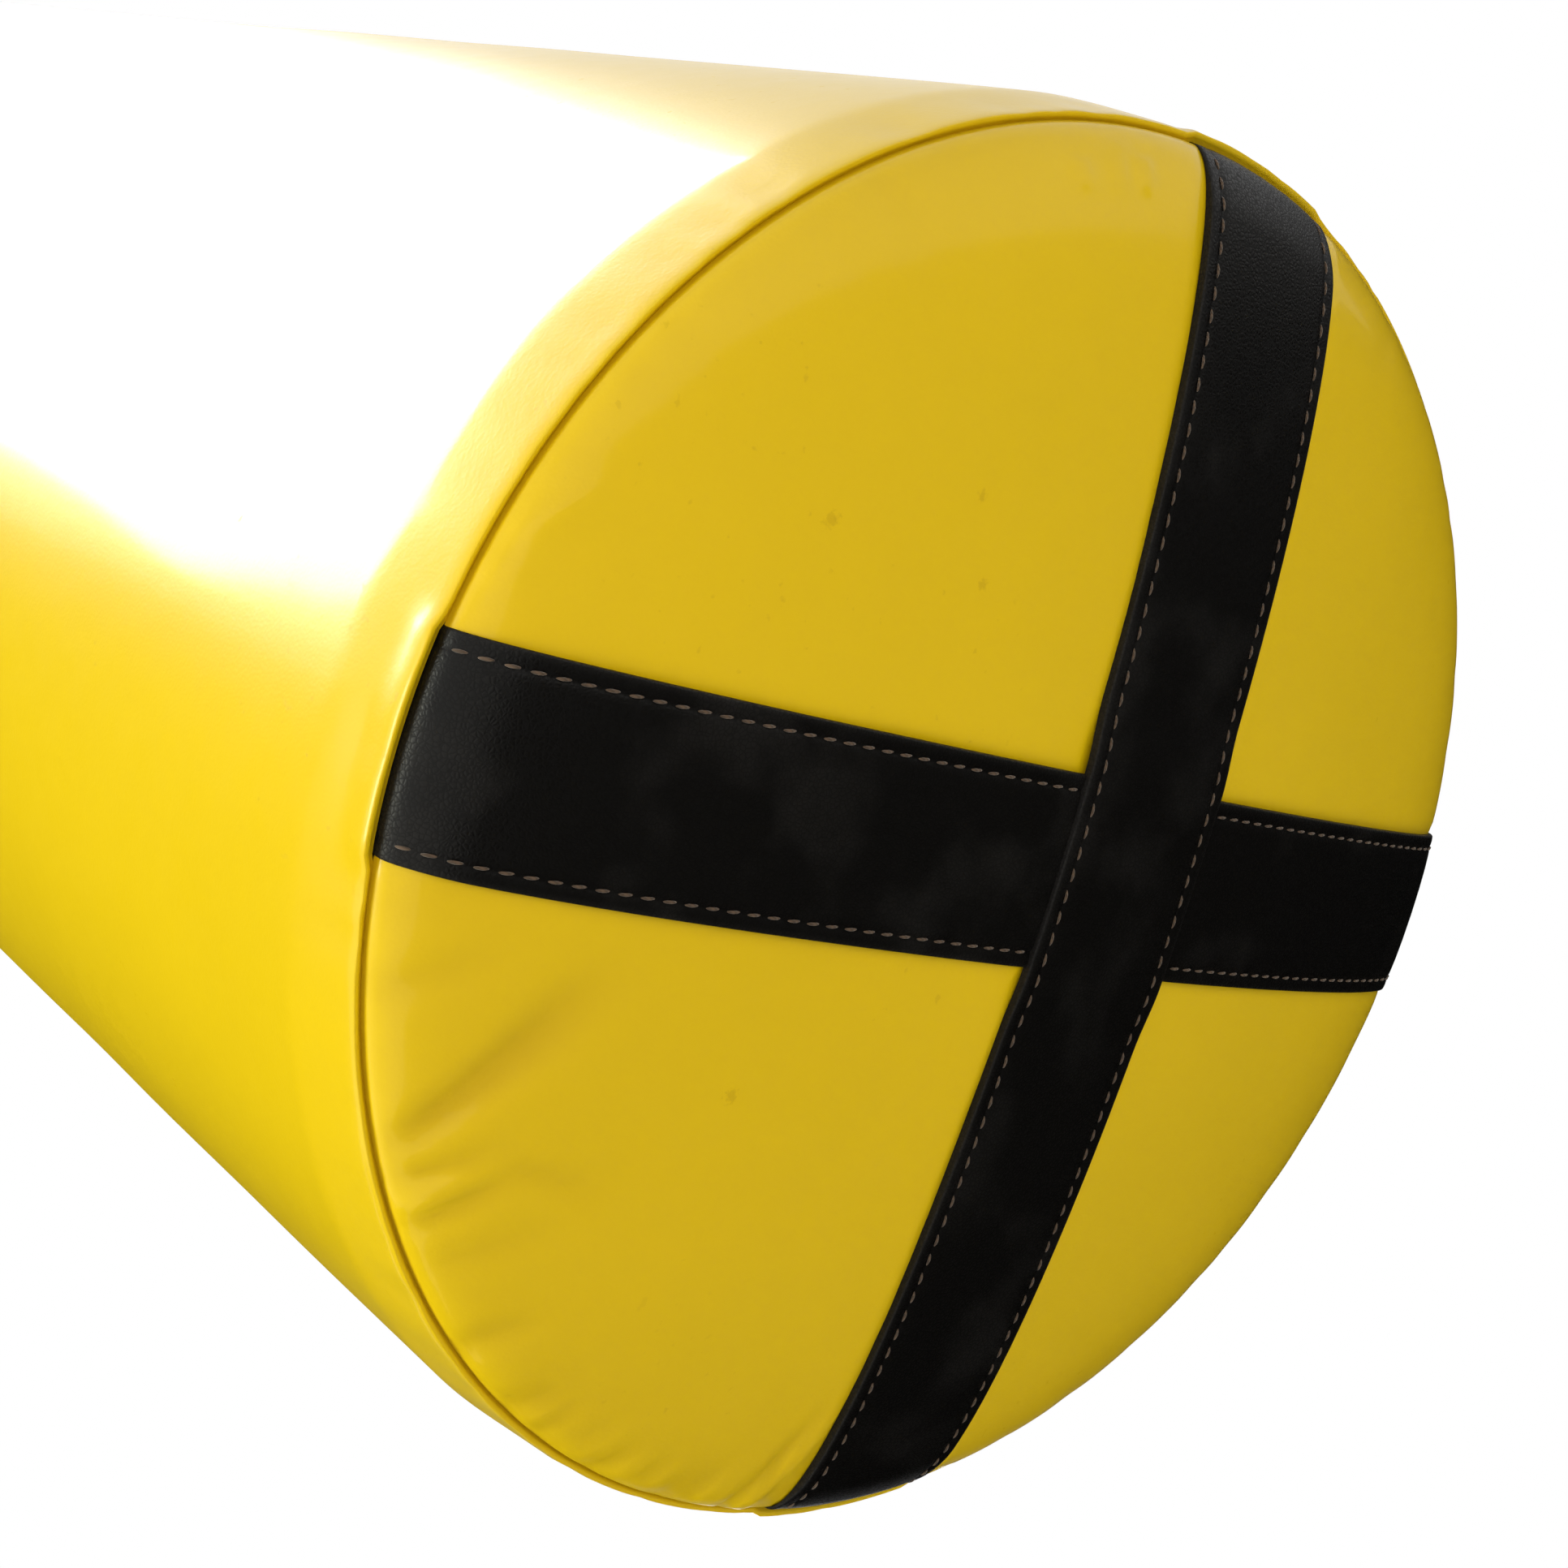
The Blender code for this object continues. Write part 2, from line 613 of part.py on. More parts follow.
def zip_pull(parent):
    """A flat tab that lies back along the zip. Its end bar passes under the slider's bridge."""
    start = SLIDER_REST + PULL_FRAME / 2
    end = start - PULL_LENGTH
    half = PULL_WIDTH / 2
    corner = half / 2
    outline = [(start, -half), (start, half)]
    outline += arc((end + corner, half - corner), corner, 90, 180, 3)
    outline += arc((end + corner, corner - half), corner, 180, 270, 3)
    window_start = start - PULL_FRAME
    window_end = window_start - PULL_WINDOW
    inner = half - PULL_FRAME
    window = [(window_start, -inner), (window_start, inner), (window_end, inner), (window_end, -inner)]
    low = PULL_AXIS_Z - PULL_THICKNESS / 2
    return flat_outline("zip_pull", [outline, window], low, PULL_THICKNESS, ZIP_METAL,
                        AXES[parent.name], parent)


# Band, hanging straps, rivets and D-rings

def leg_frame(leg):
    """The way out from the axis, and the way round it, at a leg."""
    azimuth = leg_azimuth(leg)
    return Vector((math.cos(azimuth), math.sin(azimuth), 0)), Vector((-math.sin(azimuth), math.cos(azimuth), 0))


def rivet_places(leg):
    outwards = leg_frame(leg)[0]
    return [outwards * HANGER_OUTER + Vector((0, 0, TOP_Z - drop)) for drop in RIVET_DROPS]


def rivet_holes(obj, legs):
    """Cuts the holes of the rivets that pass through a piece."""
    for leg in legs:
        outwards = leg_frame(leg)[0]
        for number, place in enumerate(rivet_places(leg)):
            start = place - outwards * (HANGER_OUTER - BODY_RADIUS + 4 * SKIN)
            end = place + outwards * (3 * HANGER_THICKNESS)
            name = f"{obj.name}_hole_{leg + 1}_{number + 1}"
            hole = cylinder(name, RIVET_SHANK_RADIUS + GAP, start, end, RIVET_STEEL, sides=10)
            combine(obj, hole, "DIFFERENCE")


def top_band(parent):
    high = BAG_LENGTH - BAND_DROP
    low = high - BAND_HEIGHT
    inner = BODY_RADIUS + GAP
    profile = [(BAND_RADIUS, high), (BAND_RADIUS, low), (inner, low), (inner, high)]
    return turned("top_band", profile, BLACK_LEATHER, (0, 0, BASE_Z), parent, closed=True)


def hanger_route():
    """(distance from the axis, height) along a strap that is folded over a D-ring's bar."""
    foot = TOP_Z - HANGER_LEG
    neck = BAR_Z - 3 * HANGER_LOOP
    heights = [foot, TOP_Z - 0.5 * HANGER_LEG, TOP_Z - SHOULDER_HEIGHT / 2, neck]
    outer = [(HANGER_OUTER, height) for height in heights]
    inner = [(HANGER_INNER, height) for height in reversed(heights)]
    return outer + arc((HANGER_MIDDLE, BAR_Z), HANGER_LOOP, -40, 220, 6) + inner


def hanger_strap(leg, parent):
    outwards, around = leg_frame(leg)
    route = hanger_route()
    columns = 4

    def place(row, column):
        radius, height = route[row]
        across = HANGER_WIDTH * (column / columns - 0.5)
        hug = 1 - smooth_step((height - TOP_Z + SHOULDER_HEIGHT / 2) / HANGER_RISE * 2)
        bent = radius + hug * (math.sqrt(radius**2 - across**2) - radius)
        return outwards * bent + around * across + Vector((0, 0, height))

    strap = strip(
        f"hanger_strap_{leg + 1}", len(route) - 1, columns, place, lambda centre: outwards,
        HANGER_THICKNESS, 0.0, BLACK_LEATHER, (0, 0, BASE_Z), parent,
    )
    rivet_holes(strap, [leg])
    return strap


def rivets(leg, parent):
    outwards = leg_frame(leg)[0]
    seat = HANGER_THICKNESS / 2 + GAP
    back = -(HANGER_OUTER - (BODY_RADIUS - SKIN) + 3 * GAP)
    burr = back - RIVET_BURR_THICKNESS
    profile = [
        (0, seat + RIVET_HEAD_HEIGHT),
        (RIVET_HEAD_RADIUS * 0.7, seat + RIVET_HEAD_HEIGHT * 0.75),
        (RIVET_HEAD_RADIUS, seat),
        (RIVET_SHANK_RADIUS, seat),
        (RIVET_SHANK_RADIUS, back),
        (RIVET_BURR_RADIUS, back),
        (RIVET_BURR_RADIUS, burr),
        (0, burr),
    ]
    for number, place in enumerate(rivet_places(leg)):
        rivet = turned(f"rivet_{leg + 1}_{number + 1}", profile, RIVET_STEEL, (0, 0, 0), steps=8)
        rivet.parent = parent
        rivet.location = place - AXES[parent.name]
        rivet.rotation_euler = outwards.to_track_quat("Z", "Y").to_euler()


def d_ring(leg, along, parent):
    """A D of wire: its bar lies in the strap's fold, and its bow points up the chain."""
    outwards, around = leg_frame(leg)
    bar = outwards * HANGER_MIDDLE + Vector((0, 0, BAR_Z))
    half = HANGER_WIDTH / 2 + D_RING_WIRE
    angles = [math.pi * i / 12 for i in range(13)]
    points = [bar + around * half * math.cos(a) - along * D_RING_HEIGHT * math.sin(a) for a in angles]
    return wire(f"d_ring_{leg + 1}", [points], D_RING_WIRE, CHAIN_STEEL, bar, parent)


# Chain legs, ring, swivel and snap hook

def oblong(centre, along, normal):
    """Middle line of one link: two half rounds and two straights."""
    across = normal.cross(along)
    bend = (LINK_INNER_WIDTH + LINK_WIRE) / 2
    straight = LINK_OVERALL / 2 - bend
    points = []
    for end in (1, -1):
        for i in range(7):
            angle = math.pi * i / 6
            rise = end * (straight + bend * math.sin(angle))
            points.append(centre + across * bend * math.cos(angle) * end + along * rise)
    return points


def leg_line(leg):
    """A leg's ring seat, its way down and its bar."""
    seat = ring_seat_point(leg)
    bar = leg_frame(leg)[0] * HANGER_MIDDLE + Vector((0, 0, BAR_Z))
    return seat, (bar - seat).normalized(), bar


def chain_leg(leg, parent):
    """Oblong links, each turned a quarter from the last, and a little more to meet the D-ring squarely."""
    seat, along, bar = leg_line(leg)
    top = seat - along * TOP_SEAT
    low = bar - along * (D_RING_HEIGHT - LOW_SEAT)
    step = ((low - top).length - LINK_OVERALL) / (LINKS_PER_LEG - 1)
    angle = ring_seat(leg)
    first = Vector((math.cos(angle), 0, math.sin(angle)))
    first = (first - along * first.dot(along)).normalized()
    last = leg_frame(leg)[1]
    last = (last - along * last.dot(along)).normalized()
    between = math.degrees(math.atan2(along.dot(first.cross(last)), first.dot(last)))
    quarters = 90 * (LINKS_PER_LEG - 1)
    spare = (between - quarters + 90) % 180 - 90
    turn = math.radians((quarters + spare) / (LINKS_PER_LEG - 1))
    loops = []
    for i in range(LINKS_PER_LEG):
        centre = top + along * (LINK_OVERALL / 2 + i * step)
        normal = Matrix.Rotation(turn * i, 3, along) @ first
        loops.append(oblong(centre, along, normal))
    name = f"chain_leg_{leg + 1}"
    chain = wire(name, loops[0::2], LINK_WIRE, CHAIN_STEEL, seat, parent)
    combine(chain, wire(name + "_between", loops[1::2], LINK_WIRE, CHAIN_STEEL), "UNION")
    return chain


def torus(name, centre, radius, thickness, turn, material, origin, parent, around=28):
    bpy.ops.mesh.primitive_torus_add(
        major_radius=radius, minor_radius=thickness / 2, major_segments=around, minor_segments=8
    )
    made = bpy.context.object
    shape = bmesh.new()
    shape.from_mesh(made.data)
    bpy.data.objects.remove(made, do_unlink=True)
    bmesh.ops.transform(shape, matrix=Matrix.Translation(centre) @ turn, verts=shape.verts)
    return from_bmesh(name, shape, material, origin, parent)


def master_ring(parent):
    turn = Matrix.Rotation(math.pi / 2, 4, "X")
    return torus("master_ring", RING_CENTRE, RING_RADIUS, RING_WIRE, turn, CHAIN_STEEL, FRONT_SWING, parent, 24)


def swivel_yoke(parent):
    """A stirrup of wire under a bored collar. The ring hangs in its rounded foot."""
    half = YOKE_HALF_WIDTH
    corner = arc((half - YOKE_CORNER, YOKE_MIDDLE - YOKE_CORNER), YOKE_CORNER, 90, 0, 3)
    foot = arc((0, YOKE_BOTTOM_WIRE + half), half, 0, -180, 10)
    left = [(-y, z) for y, z in reversed(corner)]
    route = [(0, y, z) for y, z in corner + foot + left]
    yoke = wire("swivel_yoke", [route], YOKE_WIRE, CHAIN_STEEL, (0, 0, YOKE_MIDDLE), parent)
    low = (0, 0, YOKE_TOP - YOKE_COLLAR_HEIGHT)
    collar = cylinder("yoke_collar", YOKE_COLLAR_RADIUS, low, (0, 0, YOKE_TOP), CHAIN_STEEL)
    combine(yoke, collar, "UNION")
    bore_low = (0, 0, YOKE_TOP - 2 * YOKE_COLLAR_HEIGHT)
    bore_high = (0, 0, YOKE_TOP + YOKE_COLLAR_HEIGHT)
    combine(yoke, cylinder("yoke_bore", STEM_RADIUS + GAP, bore_low, bore_high, CHAIN_STEEL), "DIFFERENCE")
    return yoke


def washer(name, radius, high, thickness, sides, parent):
    """A ring or nut with a bore that clears the swivel's stem."""
    piece = cylinder(name, radius, (0, 0, high - thickness), (0, 0, high), CHAIN_STEEL, None, parent, sides)
    bore = cylinder(
        name + "_bore", STEM_RADIUS + GAP, (0, 0, high - 2 * thickness), (0, 0, high + thickness), CHAIN_STEEL
    )
    combine(piece, bore, "DIFFERENCE")
    return piece


def swivel_eye(parent):
    turn = Matrix.Rotation(math.pi / 2, 4, "X")
    centre = Vector((0, 0, EYE_CENTRE))
    eye = torus("swivel_eye", centre, EYE_LOOP_RADIUS, EYE_WIRE, turn, CHAIN_STEEL, SIDE_SWING, parent, 20)
    collar_low = EYE_COLLAR_TOP - EYE_COLLAR_HEIGHT
    collar_top = (0, 0, EYE_COLLAR_TOP + EYE_WIRE / 8)
    collar = cylinder("eye_collar", EYE_COLLAR_RADIUS, (0, 0, collar_low), collar_top, CHAIN_STEEL)
    combine(eye, collar, "UNION")
    stem = cylinder("eye_stem", STEM_RADIUS, (0, 0, STEM_END), (0, 0, EYE_COLLAR_TOP), CHAIN_STEEL)
    combine(eye, stem, "UNION")
    return eye


def snap_hook():
    """Bent bar, open on one side where the gate stands. Its lower end is a flat tongue for the pin."""
    route = [(HOOK_BEND, NOSE_END)]
    route += arc((0, HOOK_TOP_CENTRE), HOOK_BEND, 0, 180, 12)
    route += arc((0, HOOK_BOTTOM_CENTRE), HOOK_BEND, 180, 360, 12)
    route += [(HOOK_BEND, GATE_HINGE.z + TONGUE_END)]
    hook = wire(
        "snap_hook", [[(0, y, z) for y, z in route]], HOOK_WIRE, CHAIN_STEEL,
        (0, 0, 0), closed=False, resolution=2,
    )
    for side, name in ((1, "tongue_side_right"), (-1, "tongue_side_left")):
        faces = sorted((side * TONGUE_THICKNESS / 2, side * HOOK_WIRE))
        low = (faces[0], HOOK_BEND - HOOK_WIRE, GATE_HINGE.z - TONGUE_ROOT)
        high = (faces[1], HOOK_BEND + HOOK_WIRE, GATE_HINGE.z + TONGUE_ROOT)
        combine(hook, box(name, low, high, CHAIN_STEEL), "DIFFERENCE")
    reach = Vector((HOOK_WIRE, 0, 0))
    bore = cylinder("tongue_bore", GATE_PIN_RADIUS + GAP, GATE_HINGE - reach, GATE_HINGE + reach, CHAIN_STEEL,
                    sides=12)
    combine(hook, bore, "DIFFERENCE")
    reach = Vector((GATE_RADIUS + GAP, 0, 0))
    cylinder("gate_pin", GATE_PIN_RADIUS, GATE_HINGE - reach, GATE_HINGE + reach, CHAIN_STEEL, GATE_HINGE,
             sides=12)
    return hook


def snap_gate(parent):
    """A round gate with a slot that straddles the hook's tongue."""
    low = Vector((0, HOOK_BEND, GATE_HINGE.z - TONGUE_END))
    high = Vector((0, HOOK_BEND, GATE_TIP))
    gate = cylinder("snap_gate", GATE_RADIUS, low, high, CHAIN_STEEL, GATE_HINGE, parent)
    half = TONGUE_THICKNESS / 2 + GAP
    slot_low = (-half, HOOK_BEND - HOOK_WIRE, low.z - TONGUE_ROOT)
    slot_high = (half, HOOK_BEND + HOOK_WIRE, GATE_HINGE.z + TONGUE_ROOT)
    combine(gate, box("gate_slot", slot_low, slot_high, CHAIN_STEEL), "DIFFERENCE")
    reach = Vector((HOOK_WIRE, 0, 0))
    bore = cylinder("gate_bore", GATE_PIN_RADIUS + GAP, GATE_HINGE - reach, GATE_HINGE + reach, CHAIN_STEEL,
                    sides=12)
    combine(gate, bore, "DIFFERENCE")
    return gate


def build():
    gate_axis = add_axis("gate_axis", GATE_HINGE)
    side_axis = add_axis("side_swing_axis", SIDE_SWING)
    spin_axis = add_axis("spin_axis", (0, 0, YOKE_MIDDLE), side_axis)
    bag_axis = add_axis("front_swing_axis", FRONT_SWING, spin_axis)
    slider_axis = add_axis("slider_place", (SLIDER_REST, 0, TEETH_HIGH), bag_axis)
    pull_axis = add_axis("pull_axis", (SLIDER_REST, 0, PULL_AXIS_Z), slider_axis)

    snap_hook()
    snap_gate(gate_axis)
    swivel_eye(side_axis)
    washer("swivel_nut", NUT_RADIUS, NUT_TOP, NUT_HEIGHT, 6, side_axis)
    swivel_yoke(spin_axis)
    washer("swivel_washer", WASHER_RADIUS, WASHER_TOP, WASHER_THICKNESS, 16, spin_axis)
    master_ring(bag_axis)

    shell = body_shell(bag_axis)
    bottom_panel(bag_axis)
    bottom_strap("bottom_strap_under", UNDER_STRAP_WIDTH, -UNDER_STRAP_OFFSET, math.pi / 2, False, bag_axis)
    bottom_strap("bottom_strap_over", OVER_STRAP_WIDTH, OVER_STRAP_OFFSET, 0.0, True, bag_axis)
    stuffing(bag_axis)
    top_panel(bag_axis)
    for side, word in ((1, "left"), (-1, "right")):
        zip_tape("zip_tape_" + word, side, bag_axis)
        zip_rack("zip_teeth_" + word, side, bag_axis)
    zip_stop("zip_top_stop", 1, bag_axis)
    zip_stop("zip_bottom_stop", -1, bag_axis)
    zip_slider(slider_axis)
    zip_pull(pull_axis)

    band = top_band(bag_axis)
    rivet_holes(shell, range(LEG_COUNT))
    rivet_holes(band, range(LEG_COUNT))
    for leg in range(LEG_COUNT):
        hanger_strap(leg, bag_axis)
        rivets(leg, bag_axis)
        d_ring(leg, leg_line(leg)[1], bag_axis)
        chain_leg(leg, bag_axis)


build()
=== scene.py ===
import json
from math import acos, atan2, cos, degrees, exp, hypot, pi, radians, sin, sqrt, tau

import bmesh
import bpy
from bpy.props import FloatProperty, FloatVectorProperty, IntProperty, PointerProperty
from mathutils import Matrix, Vector, noise


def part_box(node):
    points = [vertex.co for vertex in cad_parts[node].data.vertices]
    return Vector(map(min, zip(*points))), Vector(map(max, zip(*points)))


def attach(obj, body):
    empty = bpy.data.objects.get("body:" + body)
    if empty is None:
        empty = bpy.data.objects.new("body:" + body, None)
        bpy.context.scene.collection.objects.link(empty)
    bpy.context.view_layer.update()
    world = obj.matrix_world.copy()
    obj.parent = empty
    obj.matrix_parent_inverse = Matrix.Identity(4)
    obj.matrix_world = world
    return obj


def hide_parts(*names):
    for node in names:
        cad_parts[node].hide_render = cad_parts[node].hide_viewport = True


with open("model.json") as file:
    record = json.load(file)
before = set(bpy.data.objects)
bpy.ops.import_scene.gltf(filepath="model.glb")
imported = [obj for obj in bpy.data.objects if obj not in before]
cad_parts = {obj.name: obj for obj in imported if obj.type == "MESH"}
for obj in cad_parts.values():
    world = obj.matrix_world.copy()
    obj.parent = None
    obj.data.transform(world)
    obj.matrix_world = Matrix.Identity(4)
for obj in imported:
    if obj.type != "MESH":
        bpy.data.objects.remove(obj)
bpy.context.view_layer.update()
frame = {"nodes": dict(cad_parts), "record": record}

bl_info = {
    "name": "Punching Bag",
    "version": (1, 0, 0),
    "blender": (4, 5, 0),
    "location": "3D View > Sidebar > Punching Bag",
    "description": "Hanging punching bag in glossy vinyl, with straps, a zip, chains and a swivel",
    "category": "Object",
}


def middle_and_half(node, axis):
    """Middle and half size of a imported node's box along an axis."""
    low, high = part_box(node)
    return (high[axis] + low[axis]) / 2, (high[axis] - low[axis]) / 2


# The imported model's own sizes, in metres. Its axis is the bag's, with Z up.
CLEARANCE = 0.0003
SHELL_LOW, SHELL_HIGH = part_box("body_shell")
PANEL_LOW, PANEL_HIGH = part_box("bottom_panel")
SEAM_Z, TOP_Z = SHELL_LOW.z, SHELL_HIGH.z
BODY_RADIUS = SHELL_HIGH.x
SEAM_RADIUS = PANEL_HIGH.x + CLEARANCE
SHOULDER_HEIGHT = 0.023
DOME_DEPTH = SEAM_Z - PANEL_LOW.z
DOME_POWER, DOME_ROOT = 1.81, 2.05
UNDER_MIDDLE, UNDER_HALF = middle_and_half("bottom_strap_under", 0)
OVER_MIDDLE, OVER_HALF = middle_and_half("bottom_strap_over", 1)
BAND_MIDDLE, BAND_HALF = middle_and_half("top_band", 2)
BAND_LOW = BAND_MIDDLE - BAND_HALF
BAND_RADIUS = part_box("top_band")[1].x


def metres(description, default):
    return FloatProperty(description=description, default=default, min=0.0, unit="LENGTH",
                         subtype="DISTANCE", precision=5)


def colour(description, *default):
    return FloatVectorProperty(description=description, default=default, size=3, min=0.0,
                               max=1.0, subtype="COLOR")


class BagSizes(bpy.types.PropertyGroup):
    """Sizes of the bag's details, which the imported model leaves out"""

    skin_wave: metres("How far the stuffing pushes the skin in and out", 0.0009)
    pucker_depth: metres("Depth of the small gathers along the seams", 0.0013)
    lip: metres("Radius of the turned edges that meet in a seam", 0.0018)
    groove: metres("How deep the seam's groove goes in", 0.0009)
    strap_thickness: metres("Thickness of the straps over the bottom", 0.0020)
    stitch_length: metres("Length of one stitch that shows", 0.0034)
    stitch_pitch: metres("Distance from one stitch to the next", 0.0053)
    stitch_width: metres("Thickness of the thread", 0.0008)
    stitch_inset: metres("Distance of a stitched row from the strap's edge", 0.0038)
    grain: metres("Size of the vinyl's fine pebble", 0.0008)
    leather_grain: metres("Size of the leather's pebble", 0.0011)
    skin_steps: IntProperty(description="Faces round the skin and its end panels",
                            default=360, min=48, max=720)


class BagColours(bpy.types.PropertyGroup):
    """Colours of the bag's finishes"""

    vinyl: colour("Glossy vinyl of the skin and the end panels", 0.760, 0.532, 0.0030)
    # The colour below is real wear where scuffs and rubbed spots mix it in, and painted shade
    # where the vinyl folds, gathers and meets a seam.
    vinyl_grime_and_crease_shade: colour("Vinyl where folds and seams hold grime", 0.500, 0.310, 0.0030)
    leather: colour("Black leather of the straps and the band", 0.0042, 0.0040, 0.0040)
    thread: colour("Tan thread of the stitching", 0.110, 0.072, 0.047)
    tape: colour("Woven tape of the zip", 0.012, 0.012, 0.013)
    zip_metal: colour("Nickel plate of the zip", 0.40, 0.38, 0.35)
    steel: colour("Zinc plate of the chains, rings, swivel and hook", 0.36, 0.36, 0.37)
    rivet: colour("Nickel plate of the rivets", 0.42, 0.40, 0.38)
    foam: colour("Foam liner inside the skin", 0.35, 0.36, 0.38)
    fill: colour("Shredded textile inside the liner", 0.30, 0.28, 0.27)
    floor: colour("Plain studio floor", 0.70, 0.69, 0.67)


# Materials. An expression on values adds its own Math nodes.

class Value:
    """One output of a material's node."""

    def __init__(self, nodes, socket):
        self.nodes = nodes
        self.socket = socket

    def __add__(self, other):
        return self.nodes.math("ADD", self, other)

    def __sub__(self, other):
        return self.nodes.math("SUBTRACT", self, other)

    def __rsub__(self, other):
        return self.nodes.math("SUBTRACT", other, self)

    def __mul__(self, other):
        return self.nodes.math("MULTIPLY", self, other)

    __radd__ = __add__


class Nodes:
    """A node tree that a material or the world is made in."""

    def __init__(self, tree):
        self.tree = tree

    def node(self, kind, settings=None, inputs=None, output=0):
        """Adds a node, with its settings first and then the values or links of its sockets."""
        made = self.tree.nodes.new(kind)
        for name, value in (settings or {}).items():
            setattr(made, name, value)
        for name, value in (inputs or {}).items():
            self.put(made.inputs[name], value)
        return Value(self, made.outputs[output])

    def put(self, socket, value):
        if isinstance(value, Value):
            self.tree.links.new(value.socket, socket)
        elif hasattr(value, "__len__") and len(value) < len(socket.default_value):
            socket.default_value = (*value, 1.0)
        else:
            socket.default_value = value

    def math(self, operation, *values):
        return self.node("ShaderNodeMath", {"operation": operation}, dict(enumerate(values)))

    def ramp(self, value, low, high):
        """0 below one value, 1 above the other, and smooth between them."""
        return self.node("ShaderNodeMapRange", {"interpolation_type": "SMOOTHSTEP"},
                         {"Value": value, "From Min": low, "From Max": high})

    def seen(self):
        """1 where the camera, a reflection or glass looks, and 0 for the light on the bag."""
        camera, glossy, clear = (self.node("ShaderNodeLightPath", output=f"Is {ray} Ray")
                                 for ray in ("Camera", "Glossy", "Transmission"))
        return self.math("MAXIMUM", self.math("MAXIMUM", camera, glossy), clear)


class Finish(Nodes):
    """A material and the nodes that make its pattern, in the object's own coordinates."""

    def __init__(self, name, **constants):
        self.slot = name
        self.material = bpy.data.materials.new(name + "_finish")
        self.material.use_nodes = True
        super().__init__(self.material.node_tree)
        self.shader = self.tree.nodes["Principled BSDF"]
        self.place = self.node("ShaderNodeTexCoord", output="Object")
        self.feed(**constants)

    def feed(self, **inputs):
        """Gives the shader's own sockets their values or links."""
        for name, value in inputs.items():
            name = name.replace("_", " ").title().replace("Ior", "IOR")
            self.put(self.shader.inputs[name], value)

    def mix(self, factor, first, second, blend="MIX"):
        """From one colour to the other as the factor goes from 0 to 1."""
        return self.node("ShaderNodeMix", {"data_type": "RGBA", "blend_type": blend},
                         {0: factor, 6: first, 7: second}, 2)

    def clouds(self, size, detail=2.0, place=None):
        """Soft noise from 0 to 1, with a cloud's size in metres."""
        return self.node("ShaderNodeTexNoise", None,
                         {"Vector": place or self.place, "Scale": 1 / size, "Detail": detail})

    def cells(self, size, feature="F1", output="Distance"):
        """Packed cells of a size in metres."""
        return self.node("ShaderNodeTexVoronoi", {"feature": feature},
                         {"Vector": self.place, "Scale": 1 / size}, output)

    def bands(self, direction, scale, distortion=0.0):
        """Even waves along one direction."""
        return self.node("ShaderNodeTexWave", {"bands_direction": direction},
                         {"Vector": self.place, "Scale": scale, "Distortion": distortion}, "Fac")

    def stretched(self, scale, turn=(0, 0, 0)):
        return self.node("ShaderNodeMapping", None,
                         {"Vector": self.place, "Scale": scale, "Rotation": turn}, "Vector")

    def attribute(self, name):
        return self.node("ShaderNodeAttribute", {"attribute_name": name}, None, "Fac")

    def bump(self, height, distance):
        """Fine relief of a height in metres."""
        self.feed(normal=self.node("ShaderNodeBump", None,
                                   {"Height": height, "Distance": distance}))


def scaled(shade, factor, added=0.0):
    return [part * factor + added for part in shade]


def finish(name):
    """The finish of that name, which is made the first time that a piece asks for it."""
    if name not in FINISHES:
        scene = bpy.context.scene
        FINISHES[name] = MAKERS[name](scene.bag_sizes, scene.bag_colours)
    return FINISHES[name]


def vinyl_finish(sizes, colours):
    made = Finish("yellow_vinyl", coat_roughness=0.11, specular_ior_level=0.24)
    # The fold attribute mixes in the darker colour as painted shade in creases, gathers and seam
    # grooves, and makes the vinyl rougher and less coated there.
    fold = made.attribute("fold")
    haze = made.ramp(made.clouds(0.12, 3.0), 0.30, 0.70)
    mottle = made.clouds(0.009, 3.0)
    patches = made.ramp(made.clouds(0.10, 1.0), 0.52, 0.62)
    scuff = made.ramp(made.clouds(0.0032, 4.0), 0.66, 0.74) * patches
    shade = made.mix(haze * 0.16 + mottle * 0.06, colours.vinyl, scaled(colours.vinyl, 0.78))
    shade = made.mix(scuff * 0.30, shade, colours.vinyl_grime_and_crease_shade)
    for x, y, size in VINYL_MARKS:
        away = made.node("ShaderNodeVectorMath", {"operation": "DISTANCE"},
                         {0: made.place, 1: on_dome(x / 1000, y / 1000, 0)}, "Value")
        ragged = away + (made.clouds(0.0012, 2.0) - 0.5) * (size / 700)
        mark = 1 - made.ramp(ragged, size / 4000, size / 1500)
        shade = made.mix(mark * 0.42, shade, colours.vinyl_grime_and_crease_shade)
    pebble = made.cells(sizes.grain, "SMOOTH_F1")
    made.feed(base_color=made.mix(fold * 0.75, shade, colours.vinyl_grime_and_crease_shade),
              roughness=0.30 + mottle * 0.08 + fold * 0.18 + scuff * 0.15,
              coat_weight=0.35 - fold * 0.20 - scuff * 0.12)
    made.bump(pebble * 0.35 + made.clouds(0.0045, 2.0) * 0.65, 0.00006)
    return made


def leather_finish(sizes, colours):
    made = Finish("black_leather", specular_ior_level=0.23, coat_roughness=0.30)
    pebble = made.cells(sizes.leather_grain, "DISTANCE_TO_EDGE")
    crease = 1 - made.ramp(pebble, 0.0, 0.16)
    rub = made.ramp(made.clouds(0.030, 4.0), 0.50, 0.72)
    edge = made.attribute("edge")
    worn = scaled(colours.leather, 3.2, 0.006)
    shade = made.mix(rub * 0.35 + edge * 0.4, colours.leather, worn)
    made.feed(base_color=made.mix(crease * 0.5, shade, scaled(colours.leather, 0.35)),
              roughness=0.36 + rub * 0.10 + crease * 0.22 + edge * 0.1)
    made.bump(made.ramp(pebble, 0.0, 0.35) * 0.7 + made.clouds(0.006, 3.0) * 0.9, 0.00005)
    return made


